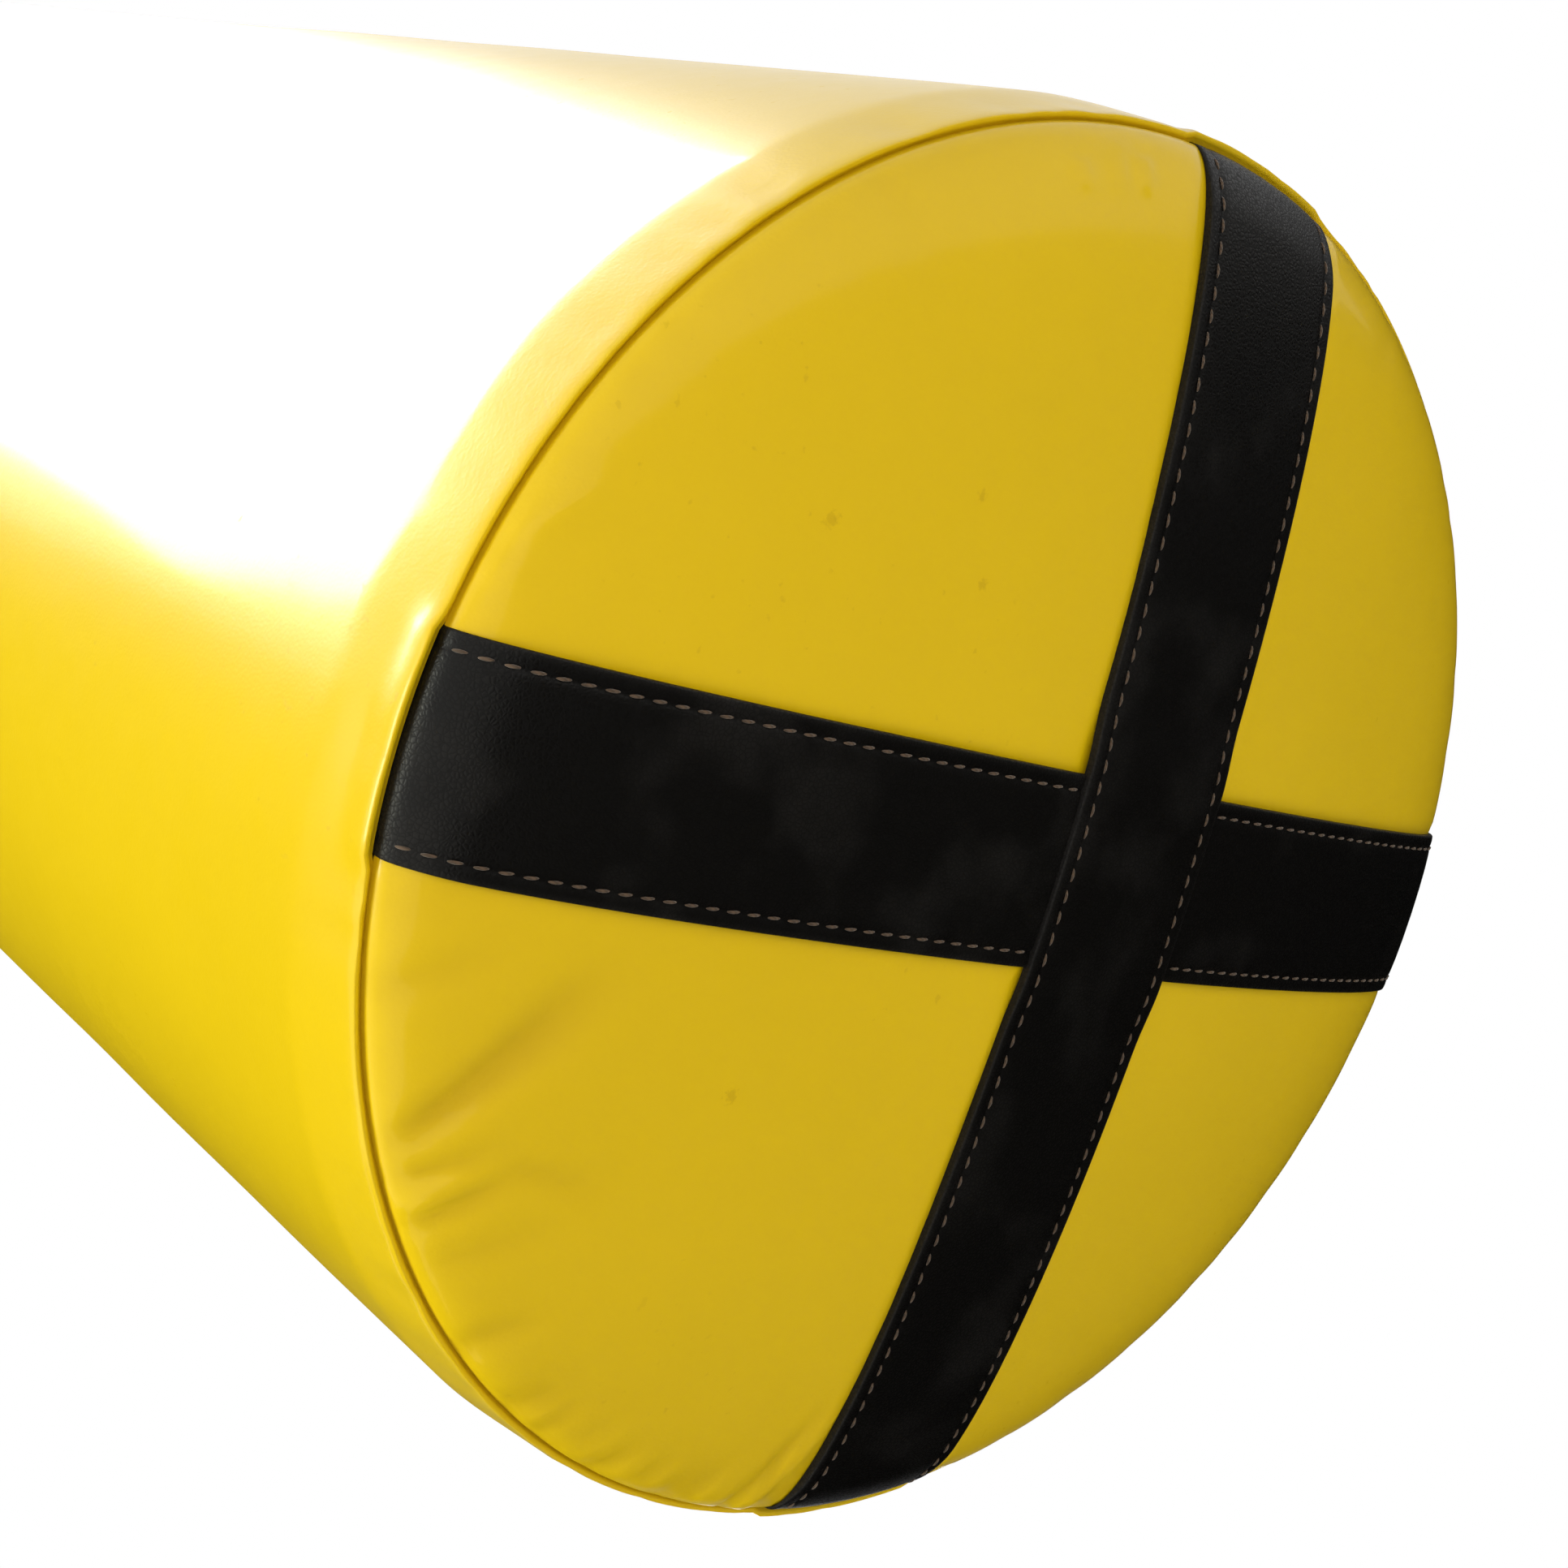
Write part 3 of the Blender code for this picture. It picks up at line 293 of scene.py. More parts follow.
def thread_finish(sizes, colours):
    made = Finish("thread", roughness=0.62, specular_ior_level=0.35, sheen_weight=0.25)
    twist = made.bands("DIAGONAL", 420.0, 1.5)
    made.feed(base_color=made.mix(twist * 0.65, colours.thread, scaled(colours.thread, 0.35)))
    made.bump(twist, 0.0001)
    return made


def tape_finish(sizes, colours):
    made = Finish("zip_tape_fabric", roughness=0.85, specular_ior_level=0.3, sheen_weight=0.4)
    weave = made.bands("X", 300.0) * 0.5 + made.bands("Y", 240.0) * 0.5
    lint = made.ramp(made.clouds(0.002, 4.0), 0.62, 0.75)
    pale = scaled(colours.tape, 3, 0.01)
    made.feed(base_color=made.mix(weave * 0.6 + lint * 0.3, colours.tape, pale))
    made.bump(weave, 0.0002)
    return made


def metal_finish(name, shade, roughness):
    """Plated metal: fine brushing, rubbed patches and a little dull haze."""
    made = Finish(name, metallic=1.0)
    brush = made.clouds(0.0006, 3.0, made.stretched((1, 1, 0.12)))
    haze = made.ramp(made.clouds(0.012, 4.0), 0.40, 0.70)
    spots = made.ramp(made.clouds(0.0021, 3.0), 0.70, 0.78)
    made.feed(base_color=made.mix(haze * 0.45 + spots * 0.35, shade, scaled(shade, 0.62)),
              roughness=roughness + brush * 0.10 + haze * 0.16 + spots * 0.2)
    made.bump(brush, 0.00003)
    return made


def foam_finish(sizes, colours):
    made = Finish("liner_foam", specular_ior_level=0.2)
    cell = made.cells(0.0016, "DISTANCE_TO_EDGE")
    wall = made.ramp(cell, 0.0, 0.2) * 0.5
    made.feed(base_color=made.mix(wall, colours.foam, scaled(colours.foam, 0.55)),
              roughness=0.90 + made.clouds(0.01) * 0.08)
    made.bump(cell, 0.0006)
    return made


def fill_finish(sizes, colours):
    made = Finish("textile_fill", specular_ior_level=0.15, sheen_weight=0.5)
    wisps = made.clouds(0.004, 5.0, made.stretched((1, 0.35, 1.6), (0.5, 0.3, 0.9)))
    rag = made.cells(0.018, "F1", "Color")
    shade = made.mix(wisps * 0.7, colours.fill, scaled(colours.fill, 0.4))
    made.feed(base_color=made.mix(0.5, shade, rag, "OVERLAY"), roughness=0.92 + wisps * 0.06)
    made.bump(wisps, 0.003)
    return made


# Small rubbed spots on the bottom panel, in millimetres from the axis: place and size
VINYL_MARKS = ((68.9, -102.7, 3.4), (82.8, -65.7, 2.6), (64.5, -59.4, 2.6), (-56.2, -85.3, 3.2))
FINISHES = {}
MAKERS = {
    "yellow_vinyl": vinyl_finish,
    "black_leather": leather_finish,
    "thread": thread_finish,
    "zip_tape_fabric": tape_finish,
    "zip_metal": lambda sizes, colours: metal_finish("zip_metal", colours.zip_metal, 0.24),
    "chain_steel": lambda sizes, colours: metal_finish("chain_steel", colours.steel, 0.20),
    "rivet_steel": lambda sizes, colours: metal_finish("rivet_steel", colours.rivet, 0.16),
    "liner_foam": foam_finish,
    "textile_fill": fill_finish,
}


# Shapes that the pieces are made with

def clamp(value):
    return min(1.0, max(0.0, value))


def smooth(value):
    value = clamp(value)
    return value * value * (3 - 2 * value)


def bell(distance, width):
    """1 at no distance, and close to 0 from twice the width on."""
    return exp(-(distance / width) ** 2)


def noise_at(x, y, z):
    return noise.noise(Vector((x, y, z)))


def way_out(azimuth):
    """The way out from the bag's axis."""
    return Vector((cos(azimuth), sin(azimuth), 0))


def polar(point):
    """Distance from the bag's axis, and azimuth."""
    return hypot(point.x, point.y), atan2(point.y, point.x)


def spaced(start, end, steps):
    """Evenly spaced values from start to end, with both of them."""
    return [start + (end - start) * i / steps for i in range(steps + 1)]


def arc(centre, radius, start, end, steps, high=None):
    """Points of an arc, or of an ellipse's, as (across, up), with its angles in degrees."""
    return [(centre[0] + radius * cos(angle), centre[1] + (high or radius) * sin(angle))
            for angle in map(radians, spaced(start, end, steps))]


def mirrored(points, axis=0, middle=0.0):
    """The points in reverse, mirrored in one coordinate about its middle."""
    return [tuple(2 * middle - part if i == axis else part for i, part in enumerate(point))
            for point in reversed(points)]


def eased(points, closed=False):
    """Smooths a line of points twice, round a loop or between its ends."""
    points = [Vector(point) for point in points]
    for _ in range(2):
        line = points + points[:2] if closed else points
        inner = [(a + 2 * b + c) / 4 for a, b, c in zip(line, line[1:], line[2:])]
        points = inner if closed else [points[0], *inner, points[-1]]
    return points


def frame_at(place, *axes):
    """Matrix with the three axes, at a place."""
    return Matrix.Translation(place) @ Matrix(axes).transposed().to_4x4()


def verts_of(items):
    return [item for item in items if isinstance(item, bmesh.types.BMVert)]


def face_normals(shape, faces=None):
    bmesh.ops.recalc_face_normals(shape, faces=faces or shape.faces)


def add_object(name, data):
    """Adds an object of a mesh, a lamp or a camera to the scene."""
    made = bpy.data.objects.new(name, data)
    bpy.context.scene.collection.objects.link(made)
    return made


def add_shape(name, shape, made):
    """Adds an object of a shape, with its finish. Its place is in its mesh."""
    mesh = bpy.data.meshes.new(name)
    shape.to_mesh(mesh)
    shape.free()
    mesh.materials.append(made.material)
    return add_object(name, mesh)


def add_piece(name, shape, kind, nodes=(), body="bag", slot=None, angle=35, **attributes):
    """Makes a piece of the bag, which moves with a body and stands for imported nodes. Each
    attribute has a value for every vertex."""
    made = finish(kind)
    piece = add_shape(name, shape, made)
    piece.data.shade_smooth()
    piece.data.set_sharp_from_angle(angle=radians(angle))
    for title, values in attributes.items():
        added = piece.data.attributes.new(title, "FLOAT", "POINT")
        added.data.foreach_set("value", values)
    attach(piece, body)
    if nodes:
        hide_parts(*nodes)
    return piece


def spin_profile(profile, steps, closed=False):
    """Spins (radius, height) points a full turn round the bag's axis."""
    shape = bmesh.new()
    verts = [shape.verts.new((radius, 0, height)) for radius, height in profile]
    pairs = zip(verts, verts[1:] + verts[:1] if closed else verts[1:])
    edges = [shape.edges.new(pair) for pair in pairs]
    bmesh.ops.spin(shape, geom=verts + edges, cent=(0, 0, 0), axis=(0, 0, 1), angle=tau,
                   steps=steps, use_merge=True)
    bmesh.ops.remove_doubles(shape, verts=shape.verts, dist=0.000002)
    face_normals(shape)
    return shape


def sweep(shape, route, radius, normal, closed=False, sides=16, swell=lambda share: 1.0):
    """Draws a round bar along a flat route, by extruding its end ring from point to point."""
    route = [Vector(point) for point in route]
    normal = Vector(normal)
    count = len(route)
    frames = []
    for i, place in enumerate(route):
        before = route[i - 1] if closed or i else place
        after = route[(i + 1) % count] if closed or i < count - 1 else place
        along = (after - before).normalized()
        across = (normal - along * normal.dot(along)).normalized()
        frames.append(frame_at(place, across, along.cross(across), along))
    sizes = [swell(i / count) for i in range(count)]
    verts = bmesh.ops.create_circle(shape, segments=sides, radius=radius * sizes[0],
                                    matrix=frames[0])["verts"]
    first = edges = list(dict.fromkeys(edge for vert in verts for edge in vert.link_edges))
    everything = list(verts)
    for i in range(1, count):
        grown = bmesh.ops.extrude_edge_only(shape, edges=edges)["geom"]
        verts = verts_of(grown)
        edges = [item for item in grown if isinstance(item, bmesh.types.BMEdge)]
        change = Matrix.Scale(sizes[i] / sizes[i - 1], 4)
        bmesh.ops.transform(shape, matrix=frames[i] @ change @ frames[i - 1].inverted(),
                            verts=verts)
        everything += verts
    if closed:
        bmesh.ops.bridge_loops(shape, edges=first + edges)
    else:
        for end in (first, edges):
            bmesh.ops.edgeloop_fill(shape, edges=end)
    face_normals(shape, list({face for vert in everything for face in vert.link_faces}))
    return shape


def copy_to(shape, template, places=(Matrix.Identity(4),)):
    """Copies a small mesh to each of the places, which are matrices."""
    start = bpy.data.meshes.new("template")
    template.to_mesh(start)
    template.free()
    for place in places:
        count = len(shape.verts)
        shape.from_mesh(start)
        shape.verts.ensure_lookup_table()
        bmesh.ops.transform(shape, matrix=place, verts=shape.verts[count:])
    bpy.data.meshes.remove(start)
    return shape


def bevel(shape, edges, width, segments=3):
    bmesh.ops.bevel(shape, geom=edges, offset=width, offset_type="OFFSET", segments=segments,
                    profile=0.5, affect="EDGES", material=-1)


def sharp_edges(shape):
    return [edge for edge in shape.edges if edge.calc_face_angle(0) > 0.9]


def block(low, high):
    """A box from its lowest to its highest corner."""
    low, high = Vector(low), Vector(high)
    shape = bmesh.new()
    size = Matrix.Diagonal((*(high - low), 1))
    bmesh.ops.create_cube(shape, size=1, matrix=Matrix.Translation((low + high) / 2) @ size)
    return shape


def bevelled_box(low, high, width, segments=3):
    shape = block(low, high)
    bevel(shape, shape.edges, width, segments)
    return shape


def sheet(rows, columns, place, thick=True):
    """A sheet with a point for each row and column, from place(row, column, upper), which
    says of a thick one whether the point is on its upper face. Gives the upper verts too."""
    shape = bmesh.new()
    bmesh.ops.create_grid(shape, x_segments=len(rows) - 1, y_segments=len(columns) - 1, size=1)
    upper = set()
    if thick:
        grown = bmesh.ops.extrude_face_region(shape, geom=shape.faces[:])["geom"]
        upper.update(verts_of(grown))
    for vert in shape.verts:
        row = rows[round((vert.co.x + 1) / 2 * (len(rows) - 1))]
        column = columns[round((vert.co.y + 1) / 2 * (len(columns) - 1))]
        vert.co = place(row, column, vert in upper)
    face_normals(shape)
    return shape, upper


# The stuffed shape

def dome_height(radius):
    """Depth of the stuffed bottom under its seam, at a distance from the axis."""
    return DOME_DEPTH * (1 - clamp(radius / SEAM_RADIUS) ** DOME_POWER) ** (1 / DOME_ROOT)


def dome_normal(radius):
    """(outwards, downwards) parts of the way out of the stuffed bottom."""
    step = SEAM_RADIUS * 0.0005
    low = clamp((radius - step) / SEAM_RADIUS) * SEAM_RADIUS
    high = clamp((radius + step) / SEAM_RADIUS) * SEAM_RADIUS
    slope = (dome_height(low) - dome_height(high)) / (high - low) if radius > step else 0.0
    length = hypot(slope, 1)
    return slope / length, 1 / length


def on_dome(x, y, lift):
    """A point over the stuffed bottom, lifted straight off its surface."""
    radius = hypot(x, y)
    outwards, down = dome_normal(radius)
    share = outwards * lift / radius if radius > 0.001 else 0.0
    return Vector((x + x * share, y + y * share, SEAM_Z - dome_height(radius) - down * lift))


def gathers(count, reach, seed):
    """Small folds that a sewn seam pulls in: azimuth, length, width and depth of each."""
    made = []
    for i in range(count):
        pick = [noise_at(seed + 7.3 * k, i * 1.37, seed * 0.7) for k in range(4)]
        made.append((tau * (i + pick[0]) / count, reach * (1 + pick[1]),
                     0.0032 * (1 + 0.7 * pick[2]), clamp(0.5 + 1.1 * pick[3])))
    return made


def gather_depth(folds, azimuth, distance):
    """Depth from 0 to 1 of the gathers, at an azimuth and a distance from the seam."""
    total = 0.0
    nearest = int(azimuth % tau / tau * len(folds))
    for i in range(nearest - 3, nearest + 4):
        place, reach, width, depth = folds[i % len(folds)]
        across = abs((azimuth - place + pi) % tau - pi) * SEAM_RADIUS
        spread = width * (1 + 1.5 * distance / reach)
        if distance <= reach * 1.2 and across < spread * 3:
            total += depth * bell(across, spread) * (1 - smooth(distance / reach / 1.2))
    return clamp(total)


# Folds of the bottom panel, in millimetres from the axis: start and end, width and depth.
# Positive depths are valleys and negative ones are ridges.
PANEL_FOLDS = (
    (-72.6, -152.1, -34.7, -125.8, 4.6, 2.55),
    (-83.3, -148.9, -73.4, -133.4, 2.3, 1.2),
    (-90.7, -146.9, -77.6, -134.8, 2.0, -1.35),
    (-93.1, -143.6, -78.7, -127.8, 2.4, 1.35),
    (-78.7, -127.8, -83.2, -108.1, 3.6, 0.75),
    (-102.4, -135.9, -92.1, -116.9, 2.8, 0.6),
    (-43.4, -166.7, -29.5, -146.4, 3.2, 0.6),
    (-120.4, -119.4, -113.1, -108.5, 1.7, 0.6),
    (-139.6, -104.0, -132.3, -95.8, 1.5, 0.68),
    (-147.0, -95.0, -134.6, -90.5, 1.5, 0.75),
    (-151.0, -85.3, -140.4, -79.0, 1.6, 0.68),
    (-155.4, -72.8, -146.6, -69.2, 1.5, 0.6),
    (-159.5, -61.5, -150.7, -57.7, 1.5, 0.6),
    (-166.1, -45.2, -155.2, -40.4, 1.7, 0.6),
    (-170.0, -29.9, -143.1, -20.7, 1.8, 1.5),
    (-170.4, -24.0, -140.2, -15.0, 1.4, -0.75),
    (164.8, -41.9, 155.2, -42.9, 1.8, -0.9),
    (164.2, -34.9, 157.3, -33.7, 1.6, -0.9),
    (158.1, -54.0, 152.4, -51.9, 2.0, -0.75),
    (41.0, -170.0, 45.0, -160.0, 3.0, -0.75),
    (50.0, -166.0, 62.0, -152.0, 3.0, -0.75),
)
FOLD_SCALE = 0.0011
DEEPEST_FOLD = 0.0025


def fold_depth(x, y):
    """Depth in metres of the panel's larger folds at a point, valleys positive."""
    total = 0.0
    for x0, y0, x1, y1, width, depth in PANEL_FOLDS:
        along = Vector((x1 - x0, y1 - y0))
        length = along.length
        along /= length
        from_start = Vector((x * 1000 - x0, y * 1000 - y0))
        share = from_start.dot(along) / length
        side = from_start.x * along.y - from_start.y * along.x
        if -0.4 < share < 1.4 and abs(side) < 4 * width:
            ends = smooth((share + 0.25) / 0.4) * smooth((1.3 - share) / 0.9)
            total += depth * bell(side, width * (0.7 + 0.8 * clamp(share))) * ends
    return min(total * FOLD_SCALE, DEEPEST_FOLD)


def under_straps(x, y):
    """How far a point of the panel is pressed by a strap: 1 under it, 0 away from it."""
    outside = min(abs(x - UNDER_MIDDLE) - UNDER_HALF, abs(y - OVER_MIDDLE) - OVER_HALF)
    return 1 - smooth((outside + 0.001) / 0.004)


# Skin, end panels and straps

GROOVE_SPARE = 0.0004       # how far the covers go on inside a seam, past its groove
STRAP_END_PUSH = 0.0011     # how far a strap's end pushes the skin out beside the seam
STRAP_PRESS = 0.0009        # how far the upper bottom strap presses the lower one in
STRAP_SINK = 0.0005         # how far the bottom straps sink into the panel
STRAP_UNDERSIDE = 0.0003    # how far their lower face lies in it, on top of that
SEAM_SQUEEZE = 0.3          # share of a strap's thickness that is left at the seam
SEAM_DIVE = 0.1             # how fast a strap's end goes down into the seam
SKIN_ANGLE = 80             # the skin and the bottom cover stay smooth over their folds


def lip_arc(edge, height, sizes, way):
    """The turned edge of a seam, from inside its groove round to its face. way is the side
    of the groove that the face lies on, and also the way up or down into the groove."""
    points = [(edge - way * 0.0006, height + way * (sizes.groove + GROOVE_SPARE))]
    deepest = acos(1 - sizes.groove / sizes.lip)
    for i in range(7):
        angle = deepest * (1 - i / 6)
        points.append((edge + way * sizes.lip * (1 - sin(angle)),
                       height + way * sizes.lip * (1 - cos(angle))))
    return points


def shoulder_inset(above, sizes):
    """How far the skin lies inside its wall near a seam: a slope with a round end."""
    slope = clamp(1 - above / SHOULDER_HEIGHT) ** 1.15
    turned = 1 - sqrt(1 - clamp(1 - above / 0.004) ** 2)
    return (BODY_RADIUS - SEAM_RADIUS - sizes.lip) * (0.88 * slope + 0.12 * turned)


def shell_profile(sizes):
    """The skin's outer face from groove to groove: lip, shoulder, wall, shoulder and lip."""
    low = lip_arc(SEAM_RADIUS, SEAM_Z, sizes, 1)
    for i in range(1, 17):
        above = SHOULDER_HEIGHT * (i / 16) ** 2
        low.append((BODY_RADIUS - shoulder_inset(above, sizes), SEAM_Z + above))
    middle = (SEAM_Z + TOP_Z) / 2
    height = SEAM_Z + SHOULDER_HEIGHT
    step = 0.003
    while height + step < middle:
        height += step
        step = min(0.016, step * 1.12)
        low.append((BODY_RADIUS, height))
    return low + mirrored(low, 1, middle)


LOW_FOLDS = gathers(74, 0.026, 2.0)
HIGH_FOLDS = gathers(84, 0.034, 5.0)


def skin_dent(azimuth, radius, height):
    """How far a gather draws the skin in at a place, from 0 to 1."""
    dent = 0.35 * gather_depth(LOW_FOLDS, azimuth, height - SEAM_Z)
    dent += gather_depth(HIGH_FOLDS, azimuth, TOP_Z - height)
    return dent * clamp((radius - SEAM_RADIUS) / 0.003)


def skin_push(azimuth, height, sizes):
    """How far the filling and the straps' ends push the skin out at a place. The seams and
    the band hold it."""
    x, y = cos(azimuth), sin(azimuth)
    broad = noise_at(x * 1.6 + 3, y * 1.6 + 1, height * 4.5)
    small = noise_at(x * 4 + 8, y * 4 + 5, height * 15)
    above = height - SEAM_Z
    free = smooth(above / 0.05) * smooth((BAND_LOW - height) / 0.06)
    strap = under_straps(SEAM_RADIUS * x, SEAM_RADIUS * y) * (1 - smooth(above / 0.010))
    return sizes.skin_wave * (0.75 * broad + 0.35 * small) * free + STRAP_END_PUSH * strap


class PUNCHINGBAG_OT_skin(bpy.types.Operator):
    """Makes the yellow skin, with its shoulders, gathers and turned seam edges"""

    bl_idname = "punchingbag.skin"
    bl_label = "Add Skin"

    def execute(self, context):
        sizes = context.scene.bag_sizes
        shape = spin_profile(shell_profile(sizes), sizes.skin_steps)
        folds = []
        for vert in shape.verts:
            radius, azimuth = polar(vert.co)
            height = vert.co.z
            dent = skin_dent(azimuth, radius, height)
            push = skin_push(azimuth, height, sizes) - sizes.pucker_depth * dent
            vert.co += way_out(azimuth) * push
            # Painted shade: the vinyl is darkened in the gathers and in the seam's groove.
            from_end = min(height - SEAM_Z, TOP_Z - height)
            painted_seam_shade = clamp(1 - (radius - SEAM_RADIUS) / 0.0011) * clamp((0.006 - from_end) / 0.003)
            folds.append(clamp(0.30 * dent + painted_seam_shade))
        skin = add_piece("skin", shape, "yellow_vinyl", ["body_shell"], angle=SKIN_ANGLE,
                         fold=folds)
        return {"FINISHED"}


class PUNCHINGBAG_OT_bottom(bpy.types.Operator):
    """Makes the stuffed bottom panel, with its folds and the gathers along its seam"""

    bl_idname = "punchingbag.bottom"
    bl_label = "Add Bottom Panel"

    def execute(self, context):
        sizes = context.scene.bag_sizes
        edge = SEAM_RADIUS - 0.0001
        rings = 96
        profile = [(edge, SEAM_Z + sizes.groove + GROOVE_SPARE)]
        for i in range(rings, -1, -1):
            share = sin(pi / 2 * i / rings)
            profile.append((edge * share, SEAM_Z - dome_height(SEAM_RADIUS * share)))
        shape = spin_profile(profile, sizes.skin_steps)
        small_folds = gathers(58, 0.020, 9.0)
        folds = []
        for vert in shape.verts:
            x, y, z = vert.co
            radius, azimuth = polar(vert.co)
            rim = clamp((SEAM_Z - z) / 0.004)
            press = under_straps(x, y)
            # The photograph's gathers are strongest at the panel's lower left
            pulled = 0.2 + 0.8 * smooth((cos(azimuth + 2.55) - 0.55) / 0.35)
            gather = gather_depth(small_folds, azimuth, SEAM_RADIUS - radius)
            gather *= (1 - press) * rim * pulled
            fold = fold_depth(x, y) * rim
            wave = 0.0005 * noise_at(x * 22, y * 22, 0) * clamp((edge - radius) / 0.02)
            sink = gather * sizes.pucker_depth + fold + 0.0010 * press * rim + wave
            outwards, down = dome_normal(radius)
            if radius > 0.0005:
                vert.co -= Vector((x / radius * outwards, y / radius * outwards, -down)) * sink
            # Painted shade: the vinyl is darkened in the gathers, in the fold valleys and next to
            # the seam's groove.
            painted_seam_shade = clamp(1 - (SEAM_Z - vert.co.z) / 0.0012)
            folds.append(clamp(0.30 * gather + max(0.0, fold) * 220 + painted_seam_shade * 0.9))
        panel = add_piece("bottom_cover", shape, "yellow_vinyl", ["bottom_panel"],
                          angle=SKIN_ANGLE, fold=folds)
        return {"FINISHED"}


def across_strap(half, inset):
    """Places across a strap, closer together at its edges and at its stitched rows."""
    near = [0.0, 0.0006, 0.0015]
    near += [inset + part for part in (-0.0011, -0.0005, 0, 0.0005, 0.0011, 0.0025, 0.006, 0.012)]
    near = [place - half for place in near if place < half]
    return near + [0.0] + [-place for place in reversed(near)]


def strap_relief(across, half, inset):
    """Height of a strap's face over its flat: a low crown, pressed in along the stitches."""
    edge = half - abs(across)
    crown = 0.0003 * smooth(edge / 0.012) + 0.00012 * bell(edge - 0.0016, 0.0009)
    return crown - 0.00045 * bell(edge - inset, 0.0007)


def worn_edge(across, half, width=0.0012):
    """1 at a strap's edge and 0 from a width inside it."""
    return clamp(1 - (half - abs(across)) / width)


class BottomStrap:
    """Places on a strap that runs over the stuffed bottom into the seam at both ends. The
    one under runs along Y, and the one over it along X."""

    def __init__(self, over, sizes):
        self.over = over
        self.middle = OVER_MIDDLE if over else UNDER_MIDDLE
        self.half = OVER_HALF if over else UNDER_HALF
        self.thickness = sizes.strap_thickness
        self.inset = sizes.stitch_inset

    def point(self, share, across, lift):
        """share runs from -1 to 1 on the dome, and a little more goes down into the seam."""
        side = self.middle + across
        along = max(-1.0, min(1.0, share)) * sqrt(SEAM_RADIUS**2 - side**2)
        x, y = (along, side) if self.over else (side, along)
        free = smooth((SEAM_RADIUS - hypot(x, y)) / 0.015)
        squeeze = SEAM_SQUEEZE + (1 - SEAM_SQUEEZE) * free
        place = on_dome(x, y, lift * squeeze + self.rise(along) - STRAP_SINK)
        place.z += max(0.0, abs(share) - 1.0) * SEAM_DIVE
        return place

    def rise(self, along):
        """How far this strap is lifted by the other one, or pressed in, where they cross."""
        if self.over:
            outside = abs(along - UNDER_MIDDLE) - UNDER_HALF - 0.001
            return (self.thickness - STRAP_PRESS) * (1 - smooth(outside / 0.018))
        outside = abs(along - OVER_MIDDLE) - OVER_HALF + 0.006
        return -STRAP_PRESS * (1 - smooth(outside / 0.012))

    def row(self, across):
        """Close points along a stitched row, each with the way out of the strap."""
        lift = self.thickness + 0.0001
        made = []
        for share in spaced(-0.998, 0.998, 700):
            place = self.point(share, across, lift)
            outer = self.point(share, across, lift + 0.001)
            made.append((place, (outer - place).normalized()))
        return made

    def shares(self):
        """Places along the strap: close together at its ends and where it climbs."""
        shares = [sin(pi / 2 * i / 90) for i in range(-90, 91)]
        if self.over:
            for side in (1, -1):
                edge = UNDER_MIDDLE + side * UNDER_HALF
                shares += [(edge + side * 0.0012 * i) / SEAM_RADIUS for i in range(13)]
        return [-1.045, -1.02] + sorted(shares) + [1.02, 1.045]

    def face_point(self, share, across, upper):
        relief = strap_relief(across, self.half, self.inset)
        return self.point(share, across, self.thickness + relief if upper else -STRAP_UNDERSIDE)

    def make(self, word):
        shape, upper = sheet(self.shares(), across_strap(self.half, self.inset), self.face_point)
        rim = [edge for edge in sharp_edges(shape) if upper.issuperset(edge.verts)]
        bevel(shape, rim, 0.0005)
        axis = 1 if self.over else 0
        edges = [worn_edge(vert.co[axis] - self.middle, self.half) for vert in shape.verts]
        add_piece("strap_" + word, shape, "black_leather", ["bottom_strap_" + word], angle=50,
                  edge=edges)


def stitch_mesh(sizes):
    """One stitch: a short length of thread that dips into the leather at both ends."""
    shape = bmesh.new()
    bmesh.ops.create_uvsphere(shape, u_segments=8, v_segments=6, radius=0.5,
                              matrix=Matrix.Rotation(pi / 2, 4, "Y"))
    for vert in shape.verts:
        vert.co.z -= 1.8 * vert.co.x**2
    size = (sizes.stitch_length, sizes.stitch_width, sizes.stitch_width * 0.75)
    bmesh.ops.scale(shape, vec=size, verts=shape.verts)
    return shape


def stitch_places(row, pitch):
    """Matrices of stitches, spaced evenly along a row of (point, way out) pairs."""
    distance = [0.0]
    for (before, _), (place, _) in zip(row, row[1:]):
        distance.append(distance[-1] + (place - before).length)
    count = int(distance[-1] / pitch)
    start = (distance[-1] - count * pitch + pitch) / 2
    made = []
    spot = 0
    for i in range(count):
        wanted = start + i * pitch
        while spot < len(row) - 2 and distance[spot + 1] < wanted:
            spot += 1
        part = (wanted - distance[spot]) / max(1e-9, distance[spot + 1] - distance[spot])
        place = row[spot][0].lerp(row[spot + 1][0], part)
        along = (row[min(spot + 2, len(row) - 1)][0] - row[max(spot - 1, 0)][0]).normalized()
        side = row[spot][1].cross(along).normalized()
        slant = Matrix.Rotation(radians(5 + 3 * noise_at(i * 0.9, 3.0, 0)), 4, "Z")
        made.append(frame_at(place, along, side, along.cross(side)) @ slant)
    return made


def add_stitches(name, rows, sizes):
    """Makes one piece of the stitches along the rows."""
    places = [place for row in rows for place in stitch_places(row, sizes.stitch_pitch)]
    shape = copy_to(bmesh.new(), stitch_mesh(sizes), places)
    add_piece(name, shape, "thread", slot="black_leather", angle=80)


